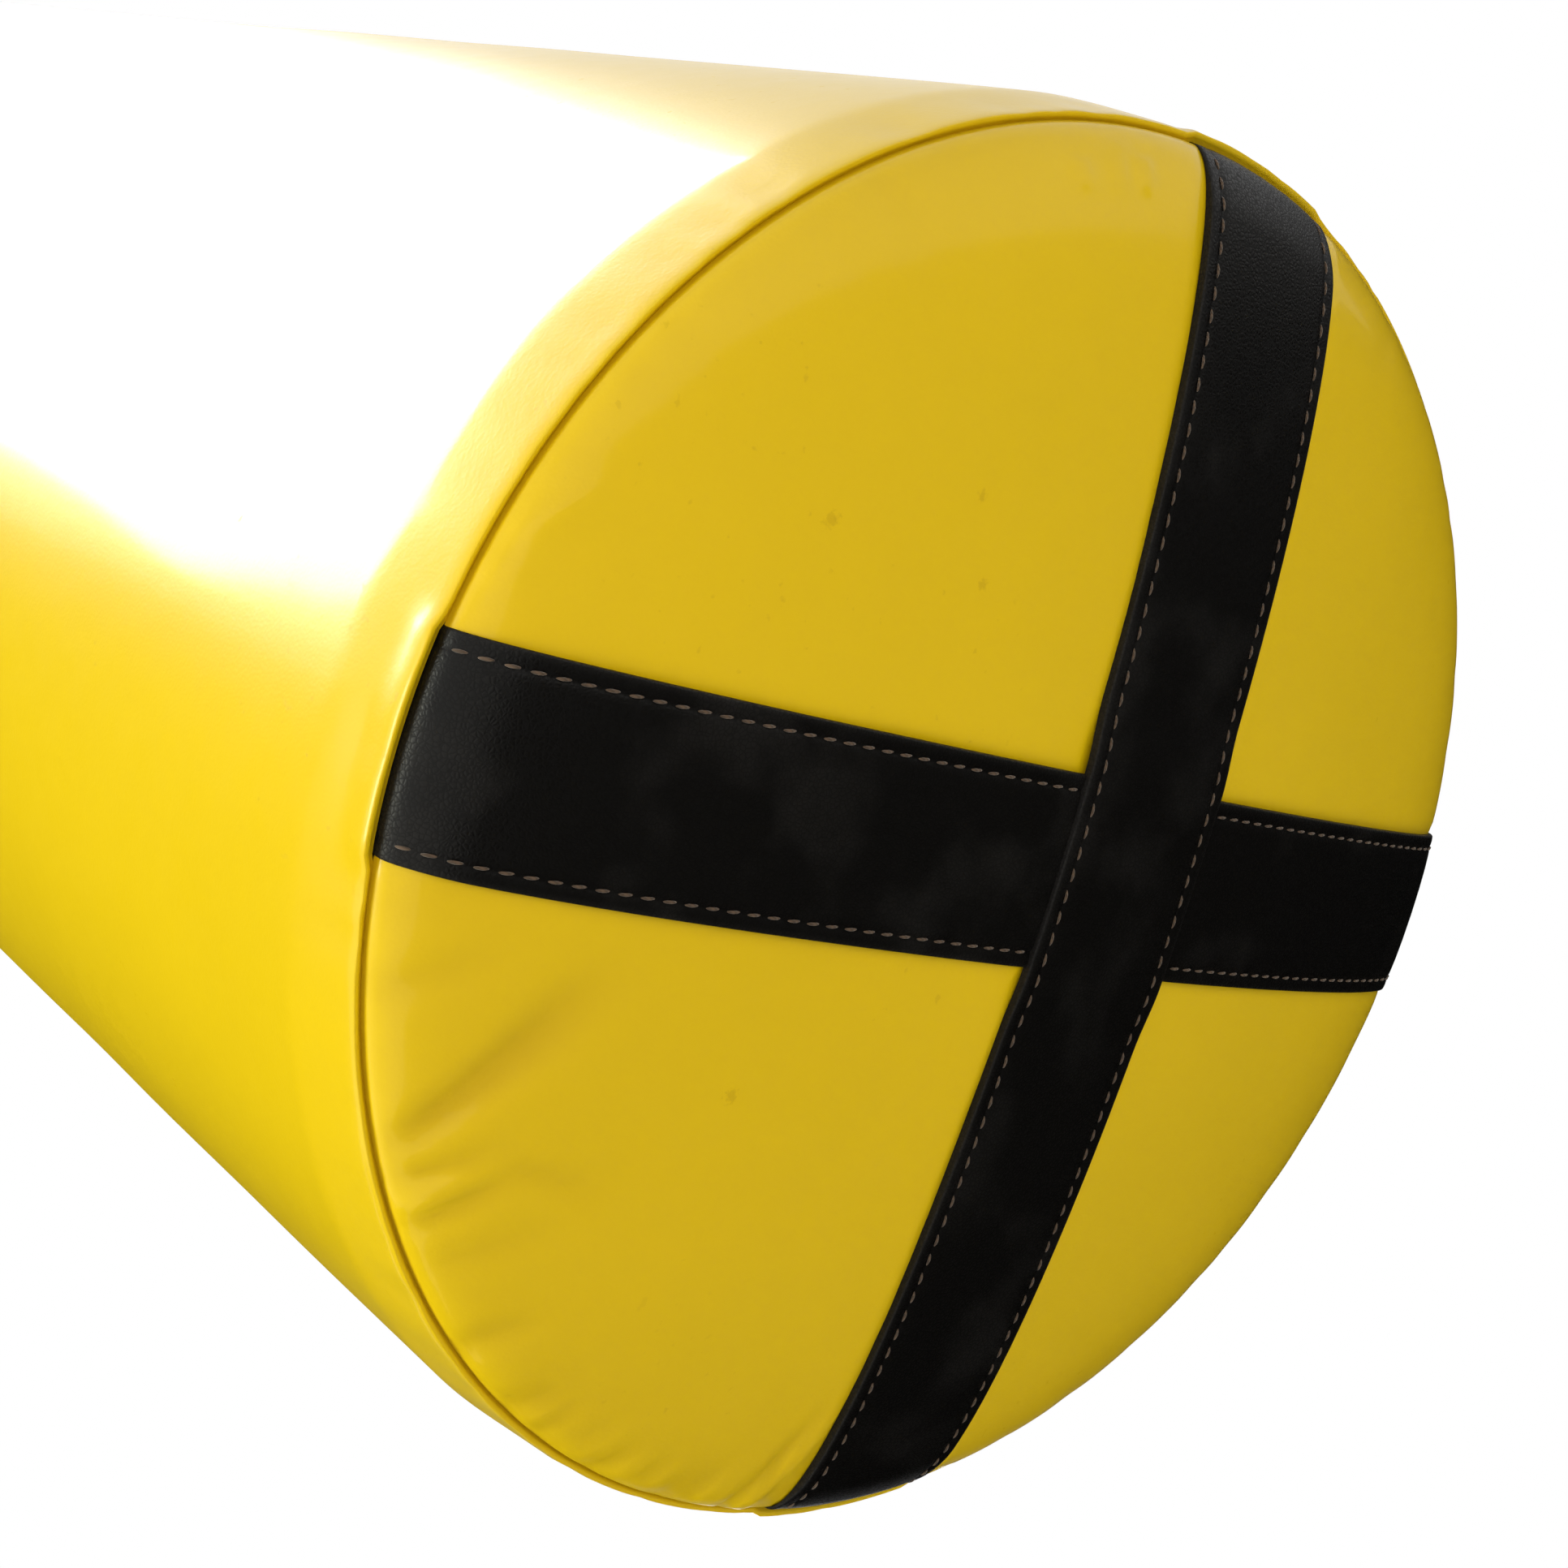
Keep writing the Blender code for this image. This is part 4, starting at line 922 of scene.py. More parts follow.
class PUNCHINGBAG_OT_straps(bpy.types.Operator):
    """Makes the two crossed straps over the bottom, with their stitching"""

    bl_idname = "punchingbag.straps"
    bl_label = "Add Bottom Straps"

    def execute(self, context):
        sizes = context.scene.bag_sizes
        straps = {"under": BottomStrap(False, sizes), "over": BottomStrap(True, sizes)}
        for word, strap in straps.items():
            strap.make(word)
        for word, strap in straps.items():
            rows = [strap.row(side * (strap.half - strap.inset)) for side in (-1, 1)]
            if word == "under":
                rows = [[spot for spot in row if way * (spot[0].y - OVER_MIDDLE) > OVER_HALF]
                        for row in rows for way in (-1, 1)]
            add_stitches("stitches_" + word, rows, sizes)
        return {"FINISHED"}


# The top end: panel, zip, band, hanging straps and rivets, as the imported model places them

SLOT_HALF_WIDTH = 0.008
SLOT_HALF_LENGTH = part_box("zip_top_stop")[1].x + CLEARANCE
STITCH_GAP = 0.0035
RACK_LOW, RACK_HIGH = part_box("zip_teeth_left")
ZIP_PITCH = 0.0056
TOOTH_LENGTH = 0.0024
TOOTH_TIP = 0.0019
HANGER_THICKNESS = 0.0025
HANGER_HALF = 0.0225
HANGER_INNER = BAND_RADIUS + CLEARANCE + HANGER_THICKNESS / 2
HANGER_OUTER = HANGER_INNER + HANGER_THICKNESS + CLEARANCE
HANGER_MIDDLE = (HANGER_INNER + HANGER_OUTER) / 2
HANGER_FACE = HANGER_OUTER + HANGER_THICKNESS / 2
HANGER_FOOT = TOP_Z - 0.105
BAR_Z = TOP_Z + 0.035
D_RING_WIRE = 0.006
D_RING_HEIGHT = 0.030
HANGER_LOOP = D_RING_WIRE / 2 + CLEARANCE + HANGER_THICKNESS / 2
RIVET_DROPS = (0.045, 0.085)
RIVET_PROFILE = ((0, 0.0025), (0.0022, 0.00238), (0.0042, 0.00195), (0.0058, 0.0012),
                 (0.0066, 0.0006), (0.007, 0.0002), (0.0069, 0), (0.0025, 0),
                 (0.0025, -0.002), (0, -0.002))
LEGS = range(4)
UP = Vector((0, 0, 1))


def leg_frame(leg):
    """The way out from the axis, and the way round it, at a leg."""
    azimuth = radians(45 + 90 * leg)
    return way_out(azimuth), way_out(azimuth + pi / 2)


class PUNCHINGBAG_OT_top(bpy.types.Operator):
    """Makes the top panel, with its turned seam edge, its slot for the zip and its stitching"""

    bl_idname = "punchingbag.top"
    bl_label = "Add Top Panel"

    def execute(self, context):
        sizes = context.scene.bag_sizes
        edge = SEAM_RADIUS - 0.0002
        profile = lip_arc(edge, TOP_Z, sizes, -1)
        profile += [(radius, TOP_Z) for radius in spaced(edge - sizes.lip, 0, 40)[1:]]
        shape = spin_profile(profile, sizes.skin_steps // 2)
        for axis, reach in ((1, SLOT_HALF_WIDTH), (0, SLOT_HALF_LENGTH)):
            normal = Vector((1 - axis, axis, 0))
            for side in (-1, 1):
                near = [face for face in shape.faces if abs(face.calc_center_median().y) < 0.02]
                geom = {v for f in near for v in f.verts} | {e for f in near for e in f.edges}
                bmesh.ops.bisect_plane(shape, geom=[*geom, *near], dist=0.00001, plane_no=normal,
                                       plane_co=normal * side * reach + UP * TOP_Z)
        centres = {face: face.calc_center_median() for face in shape.faces}
        gone = [face for face, centre in centres.items()
                if abs(centre.y) < SLOT_HALF_WIDTH and abs(centre.x) < SLOT_HALF_LENGTH]
        bmesh.ops.delete(shape, geom=gone, context="FACES")
        level = TOP_Z - 0.0001
        slot = [item for item in shape.edges if item.is_boundary and item.verts[0].co.z > level]
        turned = verts_of(bmesh.ops.extrude_edge_only(shape, edges=slot)["geom"])
        bmesh.ops.translate(shape, vec=(0, 0, -0.0018), verts=turned)
        face_normals(shape)

        rim_folds = gathers(64, 0.018, 13.0)
        folds = []
        for vert in shape.verts:
            x, y, z = vert.co
            radius, azimuth = polar(vert.co)
            from_edge = edge - radius
            from_zip = abs(y) - SLOT_HALF_WIDTH
            gather = gather_depth(rim_folds, azimuth, from_edge)
            row = bell(from_zip - STITCH_GAP, 0.0009) * (abs(x) < SLOT_HALF_LENGTH + 0.006)
            wave = 0.0022 * noise_at(x * 17, y * 17, 51)
            if z >= level:
                free = smooth(from_zip / 0.03) * smooth(from_edge / 0.02)
                dent = 0.0008 * gather * smooth(from_edge / 0.002) + 0.0004 * row
                vert.co.z += wave * free - dent
            # Painted shade: the vinyl is darkened in the gathers, at the seam's edge and in the
            # dents along the stitched rows.
            folds.append(clamp(0.35 * gather + 0.8 * (from_edge < 0.0003) + 0.3 * row))
        panel = add_piece("top_cover", shape, "yellow_vinyl", ["top_panel"], angle=50, fold=folds)

        reach = SLOT_HALF_LENGTH + 0.004
        rows = []
        for side in (-1, 1):
            y = side * (SLOT_HALF_WIDTH + STITCH_GAP)
            rows.append([(Vector((x, y, TOP_Z - 0.0002)), UP) for x in spaced(-reach, reach, 200)])
            rows.append([(Vector((side * reach, across, TOP_Z - 0.0001)), UP)
                         for across in spaced(-y, y, 40)])
        add_stitches("stitches_top", rows, sizes)
        return {"FINISHED"}


def tooth_mesh():
    """A tooth of the zip that points along -Y: a clamp on the tape's cord, a neck and a head."""
    shape = bevelled_box((-TOOTH_LENGTH / 2, -TOOTH_TIP, RACK_LOW.z),
                         (TOOTH_LENGTH / 2, RACK_HIGH.y, RACK_HIGH.z), 0.0004, 1)
    for vert in shape.verts:
        if vert.co.y > 0:
            vert.co.x *= 0.86
        else:
            vert.co.z = RACK_LOW.z + (vert.co.z - RACK_LOW.z) * 0.8 + 0.0002
    return shape


class PUNCHINGBAG_OT_zip(bpy.types.Operator):
    """Makes the zip: two woven tapes, meshed teeth, end stops, the slider and its pull"""

    bl_idname = "punchingbag.zip"
    bl_label = "Add Zip"

    def execute(self, context):
        self.make_tapes()
        self.make_teeth()
        self.make_slider()
        self.make_pull()
        return {"FINISHED"}

    def make_tapes(self):
        low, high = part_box("zip_tape_left")
        shape = bmesh.new()
        for side in (1, -1):
            made = bmesh.ops.create_grid(shape, x_segments=160, y_segments=10, size=1)["verts"]
            for vert in made:
                x = vert.co.x * high.x
                y = low.y + (vert.co.y + 1) / 2 * (high.y - low.y)
                wave = 0.00012 * noise_at(x * 90, y * 200, side)
                vert.co = Vector((x, side * y, high.z - 0.0001 + wave))
            cord = [(x, side * (RACK_HIGH.y - 0.0011), RACK_LOW.z + 0.0006)
                    for x in (-RACK_HIGH.x, 0, RACK_HIGH.x)]
            sweep(shape, cord, 0.0009, UP, sides=8)
        tapes = add_piece("zip_tapes", shape, "zip_tape_fabric",
                          ["zip_tape_left", "zip_tape_right"])
        tapes.modifiers.new("thickness", "SOLIDIFY").thickness = 0.0006

    def make_teeth(self):
        places = []
        for tooth in range(int(2 * RACK_HIGH.x / ZIP_PITCH + 0.001)):
            x = ZIP_PITCH * (tooth + 0.25) - RACK_HIGH.x
            places += [Matrix.Translation((x, 0, 0)),
                       Matrix.Translation((x + ZIP_PITCH / 2, 0, 0)) @ Matrix.Rotation(pi, 4, "Z")]
        shape = copy_to(bmesh.new(), tooth_mesh(), places)
        stops = ["zip_top_stop", "zip_bottom_stop"]
        for name in stops:
            copy_to(shape, bevelled_box(*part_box(name), 0.0006))
        add_piece("zip_teeth", shape, "zip_metal", ["zip_teeth_left", "zip_teeth_right", *stops])

    def make_slider(self):
        low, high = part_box("zip_slider")
        plate = RACK_HIGH.z + 0.0004
        shape = bevelled_box((low.x, low.y, plate), (high.x, high.y, plate + 0.0016), 0.0006)
        for vert in shape.verts:
            vert.co.y *= 0.80 + 0.20 * smooth((vert.co.x - low.x) / (high.x - low.x))
        for y in (-high.y, high.y - 0.0014):
            copy_to(shape, bevelled_box((low.x + 0.003, y, low.z),
                                        (high.x - 0.0005, y + 0.0014, plate + 0.001), 0.0004, 2))
        middle, half = middle_and_half("zip_slider", 0)
        half -= 0.002
        bend = 0.0022
        bow = arc((bend - half, high.z - 0.001 - bend), bend, 180, 90, 5)
        bow.insert(0, (-half, plate + 0.0004))
        route = [(middle + x, 0, z) for x, z in bow + mirrored(bow)]
        sweep(shape, route, 0.001, (0, 1, 0), sides=12)
        add_piece("slider", shape, "zip_metal", ["zip_slider"], "slider")

    def make_pull(self):
        low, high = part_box("zip_pull")
        middle, half = middle_and_half("zip_pull", 0)
        window_low, window_high = high.x - 0.0095, high.x - 0.002
        window = (window_low + window_high) / 2
        shape = bmesh.new()
        loops = []
        for centre, across, along in ((middle, half, high.y),
                                      (window, window_high - window, high.y - 0.002)):
            verts = []
            for i in range(40):
                c, s = cos(tau * (i + 0.5) / 40), sin(tau * (i + 0.5) / 40)
                stretch = (abs(c) ** 5 + abs(s) ** 5) ** -0.2
                place = (centre + c * stretch * across, s * stretch * along, low.z)
                verts.append(shape.verts.new(place))
            loops += [shape.edges.new(pair) for pair in zip(verts, verts[1:] + verts[:1])]
        bmesh.ops.bridge_loops(shape, edges=loops)
        grown = bmesh.ops.extrude_face_region(shape, geom=shape.faces[:])["geom"]
        bmesh.ops.translate(shape, vec=(0, 0, high.z - low.z), verts=verts_of(grown))
        face_normals(shape)
        bevel(shape, sharp_edges(shape), 0.0004, 2)
        add_piece("pull", shape, "zip_metal", ["zip_pull"], "pull")


class PUNCHINGBAG_OT_band(bpy.types.Operator):
    """Makes the black band round the top, with its two stitched rows"""

    bl_idname = "punchingbag.band"
    bl_label = "Add Band"

    def execute(self, context):
        sizes = context.scene.bag_sizes
        inner = BODY_RADIUS - 0.0006
        low = [(inner, BAND_LOW), (BAND_RADIUS - 0.0006, BAND_LOW),
               (BAND_RADIUS - 0.0002, BAND_LOW + 0.0002)]
        face = [(BAND_RADIUS + strap_relief(place, BAND_HALF, sizes.stitch_inset),
                 BAND_MIDDLE + place)
                for place in across_strap(BAND_HALF, sizes.stitch_inset)[1:-1]]
        shape = spin_profile(low + face + mirrored(low, 1, BAND_MIDDLE), 240, closed=True)
        for vert in shape.verts:
            radius, azimuth = polar(vert.co)
            if radius > inner + 0.0005:
                push = 0.0003 * noise_at(cos(azimuth) * 5, sin(azimuth) * 5, vert.co.z * 30)
                vert.co += way_out(azimuth) * push
        edges = [worn_edge(vert.co.z - BAND_MIDDLE, BAND_HALF) for vert in shape.verts]
        add_piece("band", shape, "black_leather", ["top_band"], angle=60, edge=edges)
        ways = [way_out(azimuth) for azimuth in spaced(0, tau, 1440)]
        rows = []
        for side in (-1, 1):
            height = BAND_MIDDLE + side * (BAND_HALF - sizes.stitch_inset)
            rows.append([(way * (BAND_RADIUS + 0.0001) + UP * height, way) for way in ways])
        add_stitches("stitches_band", rows, sizes)
        return {"FINISHED"}


def hanger_line():
    """A hanging strap's middle line as (distance from the axis, height), with the way out of
    its face at each point: up, over the ring's bar and down."""
    heights = spaced(HANGER_FOOT, BAR_Z - 3 * HANGER_LOOP, 44)
    up = [(HANGER_OUTER, height) for height in heights]
    over = arc((HANGER_MIDDLE, BAR_Z), HANGER_LOOP, -40, 220, 20)
    line = eased(up + over + mirrored(up, 0, HANGER_MIDDLE))
    ways = []
    for before, after in zip(line[:1] + line, line[1:] + line[-1:]):
        along = (after - before).normalized()
        ways.append(Vector((along.y, -along.x)))
    return list(zip(line, ways))


def hanger_point(leg, place, across):
    """A point of a hanging strap: hugs the round band, and is flat above the top."""
    outwards, around = leg_frame(leg)
    hug = 1 - smooth((place.y - TOP_Z + 0.009) / 0.0175)
    bent = place.x + hug * (sqrt(place.x**2 - across**2) - place.x)
    return outwards * bent + around * across + UP * place.y


class PUNCHINGBAG_OT_hangers(bpy.types.Operator):
    """Makes the four folded hanging straps, with their stitching and rivets"""

    bl_idname = "punchingbag.hangers"
    bl_label = "Add Hanging Straps"

    def execute(self, context):
        sizes = context.scene.bag_sizes
        inset = sizes.stitch_inset
        sides = across_strap(HANGER_HALF, inset)
        line = hanger_line()
        for leg in LEGS:
            around = leg_frame(leg)[1]

            def face_point(spot, across, upper):
                lift = HANGER_THICKNESS / 2
                lift = lift + strap_relief(across, HANGER_HALF, inset) if upper else -lift
                return hanger_point(leg, spot[0] + spot[1] * lift, across)

            shape, _ = sheet(line, sides, face_point)
            edges = [worn_edge(vert.co.dot(around), HANGER_HALF, 0.0009) for vert in shape.verts]
            add_piece(f"hanger_{leg + 1}", shape, "black_leather", [f"hanger_strap_{leg + 1}"],
                      angle=50, edge=edges)

        rows = []
        rivets = []
        side = HANGER_HALF - inset
        low, high = HANGER_FOOT + inset, TOP_Z - 0.022
        for leg in LEGS:
            outwards = leg_frame(leg)[0]

            def spot(across, height, lift):
                place = Vector((HANGER_FACE + lift, height))
                return hanger_point(leg, place, across), outwards

            rows += [[spot(across, height, 0.0001) for height in spaced(low, high, 60)]
                     for across in (-side, side)]
            rows += [[spot(across, height, 0.0003) for across in spaced(-side, side, 40)]
                     for height in (low, TOP_Z - 0.065, high)]
            turn = outwards.to_track_quat("Z", "Y").to_matrix().to_4x4()
            rivets += [Matrix.Translation(spot(0.0, TOP_Z - drop, 0.0002)[0]) @ turn
                       for drop in RIVET_DROPS]
        add_stitches("stitches_hangers", rows, sizes)
        shape = copy_to(bmesh.new(), spin_profile(RIVET_PROFILE, 28), rivets)
        nodes = [f"rivet_{leg + 1}_{number}" for leg in LEGS for number in (1, 2)]
        add_piece("rivets", shape, "rivet_steel", nodes, angle=50)
        return {"FINISHED"}


# The sewn welt down the back of the skin, where its sheet is closed to a tube
WELT_HALF = 0.011
WELT_LIFT = 0.0011
WELT_INSET = 0.0030


def skin_place(across, height, lift, sizes):
    """A point over the back of the skin, beside its middle line, with the way out."""
    azimuth = pi / 2 + across / BODY_RADIUS
    radius = BODY_RADIUS - shoulder_inset(height - SEAM_Z, sizes)
    dent = sizes.pucker_depth * skin_dent(azimuth, radius, height)
    radius += skin_push(azimuth, height, sizes) - dent + lift
    return way_out(azimuth) * radius + UP * height, way_out(azimuth)


class PUNCHINGBAG_OT_welt(bpy.types.Operator):
    """Makes the welt down the back of the skin, with its two stitched rows"""

    bl_idname = "punchingbag.welt"
    bl_label = "Add Back Welt"

    def execute(self, context):
        sizes = context.scene.bag_sizes
        low, high = SEAM_Z + 0.0004, BAND_LOW + 0.004
        row = WELT_INSET
        shares = ((0.0001, 0.4), (0.0004, 0.8), (0.0010, 1.0), (row - 0.0008, 0.95),
                  (row, 0.55), (row + 0.0008, 0.9), (row + 0.003, 1.0))
        sides = [(-WELT_HALF, -0.0005)]
        sides += [(place - WELT_HALF, share * WELT_LIFT) for place, share in shares]
        sides += [(0.0, WELT_LIFT)] + mirrored(sides)
        heights = [low + (high - low) * (i / 260) ** 1.5 for i in range(261)]

        def face_point(side, height, upper):
            lift = side[1] * smooth((height - SEAM_Z + 0.001) / 0.004)
            return skin_place(side[0], height, lift, sizes)[0]

        shape, _ = sheet(sides, heights, face_point, thick=False)
        shape.faces.ensure_lookup_table()
        if shape.faces[len(shape.faces) // 2].normal.y < 0:
            bmesh.ops.reverse_faces(shape, faces=shape.faces)
        clean = [0.0] * len(shape.verts)
        add_piece("welt", shape, "yellow_vinyl", angle=60, fold=clean)
        rows = [[skin_place(side * (WELT_HALF - row), height, WELT_LIFT * 0.7, sizes)
                 for height in spaced(low + 0.012, high - 0.004, 700)] for side in (-1, 1)]
        add_stitches("stitches_welt", rows, sizes)
        return {"FINISHED"}


# D-rings, chain legs, ring, swivel and snap hook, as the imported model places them

LINK_WIRE = 0.005
LINK_LENGTH = 0.040
LINK_BEND = 0.0075
LINKS = 8
RING_LOW, RING_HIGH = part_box("master_ring")
RING_CENTRE = (RING_LOW + RING_HIGH) / 2
RING_WIRE = 0.008
RING_RADIUS = RING_HIGH.z - RING_CENTRE.z - RING_WIRE / 2
TOP_SEAT = (RING_WIRE + LINK_WIRE) / 2 + CLEARANCE
LOW_SEAT = (D_RING_WIRE + LINK_WIRE) / 2 + CLEARANCE
EYE_LOW, EYE_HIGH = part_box("swivel_eye")
EYE_WIRE = 0.008
EYE_RADIUS = 0.013
YOKE_LOW, YOKE_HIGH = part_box("swivel_yoke")
YOKE_WIRE = 0.008
YOKE_HALF = YOKE_HIGH.y - YOKE_WIRE / 2
STEM_RADIUS = 0.005
HOOK_LOW, HOOK_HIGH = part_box("snap_hook")
HOOK_WIRE = 0.010
HOOK_BEND = 0.022


def add_metal(name, shape, nodes, body="bag", angle=50):
    add_piece(name, shape, "chain_steel", nodes, body, angle=angle)


def round_ring(centre, radius, wire, steps, sides):
    """A round ring that stands in XZ."""
    route = [(x, 0, z) for x, z in arc((centre.x, centre.z), radius, 90, -270, steps)[:-1]]
    return sweep(bmesh.new(), route, wire / 2, (0, 1, 0), closed=True, sides=sides)


def link_mesh():
    """One oblong link in its own place: along Z, flat in XZ, with the weld on one straight."""
    straight = LINK_LENGTH / 2 - LINK_BEND
    half = arc((0, straight), LINK_BEND, 0, 180, 12)
    half += [(-LINK_BEND, along) for along in spaced(straight, -straight, 6)[1:-1]]
    route = [(side * x, 0, side * z) for side in (1, -1) for x, z in half]
    return sweep(bmesh.new(), route, LINK_WIRE / 2, (0, 1, 0), closed=True, sides=12,
                 swell=lambda share: 1 + 0.13 * bell(share - 0.427, 0.022))


def leg_line(leg):
    """A leg's seat on the ring, its way down, the middle of its D-ring's bar, and the angle
    of its seat."""
    outwards = leg_frame(leg)[0]
    angle = radians(27.6 if leg % 2 == 0 else 13.6) * (1 if outwards.x > 0 else -1)
    seat = RING_CENTRE + RING_RADIUS * Vector((sin(angle), 0, -cos(angle)))
    bar = outwards * HANGER_MIDDLE + UP * BAR_Z
    return seat, (bar - seat).normalized(), bar, angle


def link_places(leg):
    """Matrices of a leg's links. The first stands across the ring and the last across the
    D-ring, and each link turns by the same angle, close to a quarter, from the one above."""
    seat, along, bar, angle = leg_line(leg)
    top = seat - along * TOP_SEAT
    low = bar - along * (D_RING_HEIGHT - LOW_SEAT)
    step = ((low - top).length - LINK_LENGTH) / (LINKS - 1)
    first, last = ((way - along * way.dot(along)).normalized()
                   for way in (Vector((cos(angle), 0, sin(angle))), leg_frame(leg)[1]))
    between = degrees(atan2(along.dot(first.cross(last)), first.dot(last)))
    quarters = 90 * (LINKS - 1)
    turn = radians((quarters + (between - quarters + 90) % 180 - 90) / (LINKS - 1))
    places = []
    for i in range(LINKS):
        normal = Matrix.Rotation(turn * i, 3, along) @ first
        places.append(frame_at(top + along * (LINK_LENGTH / 2 + i * step),
                               normal.cross(along), normal, along))
    return places


class PUNCHINGBAG_OT_chains(bpy.types.Operator):
    """Makes the four chain legs, the D-rings that they hold and the ring that gathers them"""

    bl_idname = "punchingbag.chains"
    bl_label = "Add Chains and Rings"

    def execute(self, context):
        half = HANGER_HALF + D_RING_WIRE
        outline = arc((0, 0), half, 0, 180, 40, D_RING_HEIGHT)
        outline += [(across, 0) for across in spaced(-half, half, 24)[1:-1]]
        outline = eased(outline, closed=True)
        for leg in LEGS:
            number = leg + 1
            shape = copy_to(bmesh.new(), link_mesh(), link_places(leg))
            add_metal(f"chain_{number}", shape, [f"chain_leg_{number}"], angle=70)
            _, along, bar, _ = leg_line(leg)
            around = leg_frame(leg)[1]
            shape = sweep(bmesh.new(), [bar + around * x - along * y for x, y in outline],
                          D_RING_WIRE / 2, around.cross(along), closed=True, sides=14)
            add_metal(f"ring_{number}", shape, [f"d_ring_{number}"], angle=70)
        shape = round_ring(RING_CENTRE, RING_RADIUS, RING_WIRE, 64, 20)
        add_metal("top_ring", shape, ["master_ring"], angle=70)
        return {"FINISHED"}


def bored(low, high, radius, bore, corner):
    """Profile of a round collar with a bore and rounded edges, from height to height."""
    points = arc((radius - corner, low + corner), corner, -90, 0, 4)
    points += arc((radius - corner, high - corner), corner, 0, 90, 4)
    return [(bore, low), *points, (bore, high)]


class PUNCHINGBAG_OT_swivel(bpy.types.Operator):
    """Makes the swivel's eye and yoke, and the snap hook that the bag hangs from"""

    bl_idname = "punchingbag.swivel"
    bl_label = "Add Swivel and Hook"

    def execute(self, context):
        corner = arc((YOKE_HALF - 0.006, YOKE_HIGH.z - 0.011), 0.006, 90, 0, 8)
        foot = arc((0, YOKE_LOW.z + YOKE_WIRE / 2 + YOKE_HALF), YOKE_HALF, 0, -180, 28)
        route = [(0, y, z) for y, z in corner + foot + mirrored(corner)]
        shape = sweep(bmesh.new(), route, YOKE_WIRE / 2, (1, 0, 0), closed=True, sides=18)
        collar = bored(YOKE_HIGH.z - 0.010, YOKE_HIGH.z, 0.012, STEM_RADIUS + CLEARANCE, 0.0015)
        copy_to(shape, spin_profile(collar, 40, closed=True))
        add_metal("yoke", shape, ["swivel_yoke"], "yoke")

        centre = UP * (EYE_HIGH.z - EYE_RADIUS - EYE_WIRE / 2)
        shape = round_ring(centre, EYE_RADIUS, EYE_WIRE, 48, 18)
        low = YOKE_HIGH.z + CLEARANCE
        stem = [(0, EYE_LOW.z), (STEM_RADIUS - 0.001, EYE_LOW.z),
                (STEM_RADIUS, EYE_LOW.z + 0.001), (STEM_RADIUS, low)]
        stem += bored(low, low + 0.0055, 0.009, 0, 0.0014)[1:]
        copy_to(shape, spin_profile(stem, 40))
        add_metal("eye", shape, ["swivel_eye"], "eye")

        top = HOOK_HIGH.z - HOOK_BEND - HOOK_WIRE / 2
        low = HOOK_LOW.z + HOOK_BEND + HOOK_WIRE / 2
        route = [(HOOK_BEND, top - 0.001)] + arc((0, top), HOOK_BEND, 0, 180, 30)
        route += [(-HOOK_BEND, height) for height in spaced(top, low, 6)[1:-1]]
        route += arc((0, low), HOOK_BEND, 180, 360, 30)
        route += [(HOOK_BEND, low + 0.0002 + i * 0.001) for i in range(1, 13)]
        shape = sweep(bmesh.new(), [(0, y, z) for y, z in route], HOOK_WIRE / 2, (1, 0, 0),
                      sides=20)
        for vert in shape.verts:
            above = vert.co.z - (low + 0.008)
            if vert.co.y > 0 and -0.0065 < above < 0.006:
                vert.co.x = max(-0.002, min(0.002, vert.co.x))
                if above > 0:
                    shrink = sqrt(clamp(1 - (above / 0.0055) ** 2))
                    vert.co.y = HOOK_BEND + (vert.co.y - HOOK_BEND) * shrink
        add_metal("hook", shape, ["snap_hook"], "hook")
        return {"FINISHED"}


class PUNCHINGBAG_OT_inside(bpy.types.Operator):
    """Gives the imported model's own pieces their finishes"""

    bl_idname = "punchingbag.inside"
    bl_label = "Finish Packed Pieces"

    def execute(self, context):
        slots = {row["node"]: row["material_slot"] for row in frame["record"]["subparts"]}
        for name, piece in frame["nodes"].items():
            if not piece.hide_render:
                piece.data.materials.clear()
                piece.data.materials.append(finish(slots[name]).material)
        return {"FINISHED"}


# The stage: camera, lights, floor and background

CAMERA_PLACE = Vector((0.07595, -0.40373, -1.94231))
PICTURE_RIGHT = Vector((0.28665, 0.73537, -0.61404))
PICTURE_DOWN = Vector((-0.94841, 0.12722, -0.29039))
PICTURE_LENS = 50.69
FLOOR_Z = -2.25
CARD_Z = FLOOR_Z + 0.02
SEAM = UP * SEAM_Z
COOL = (0.97, 1, 0.85)
WARM = (1, 0.82, 0.62)

# Softboxes: place and aim from the bottom seam's middle, width and height, power, what sees
# them, tint, and how far they spread in degrees. The key light is the bag's main light, and
# the gloss light makes the white band that the photograph shows along the skin.
LIGHTS = {
    "key_light": ((3.13, -2.45, 6.36), 0.0, (6.2, 6.2), 300, "diffuse", (1, 1, 1), 180),
    "gloss_light": ((2.73, -1.60, 6.80), 0.0, (7.2, 3.3), 1300, "glossy", (1, 1, 1), 180),
    "front_light": ((-0.5, -2.8, 1.1), 0.7, (1.2, 1.2), 18, "both", COOL, 100),
    "left_light": ((-2.4, -1.7, 1.1), 0.7, (1.3, 1.3), 13.5, "diffuse", COOL, 100),
    "low_light": ((0.20, -0.55, -0.50), 0.0, (0.3, 0.3), 0.50, "diffuse", WARM, 110),
    "back_light": ((-3.6, 4.5, 3.9), 0.6, (3.6, 3.6), 190, "both", (1, 1, 1), 180),
}

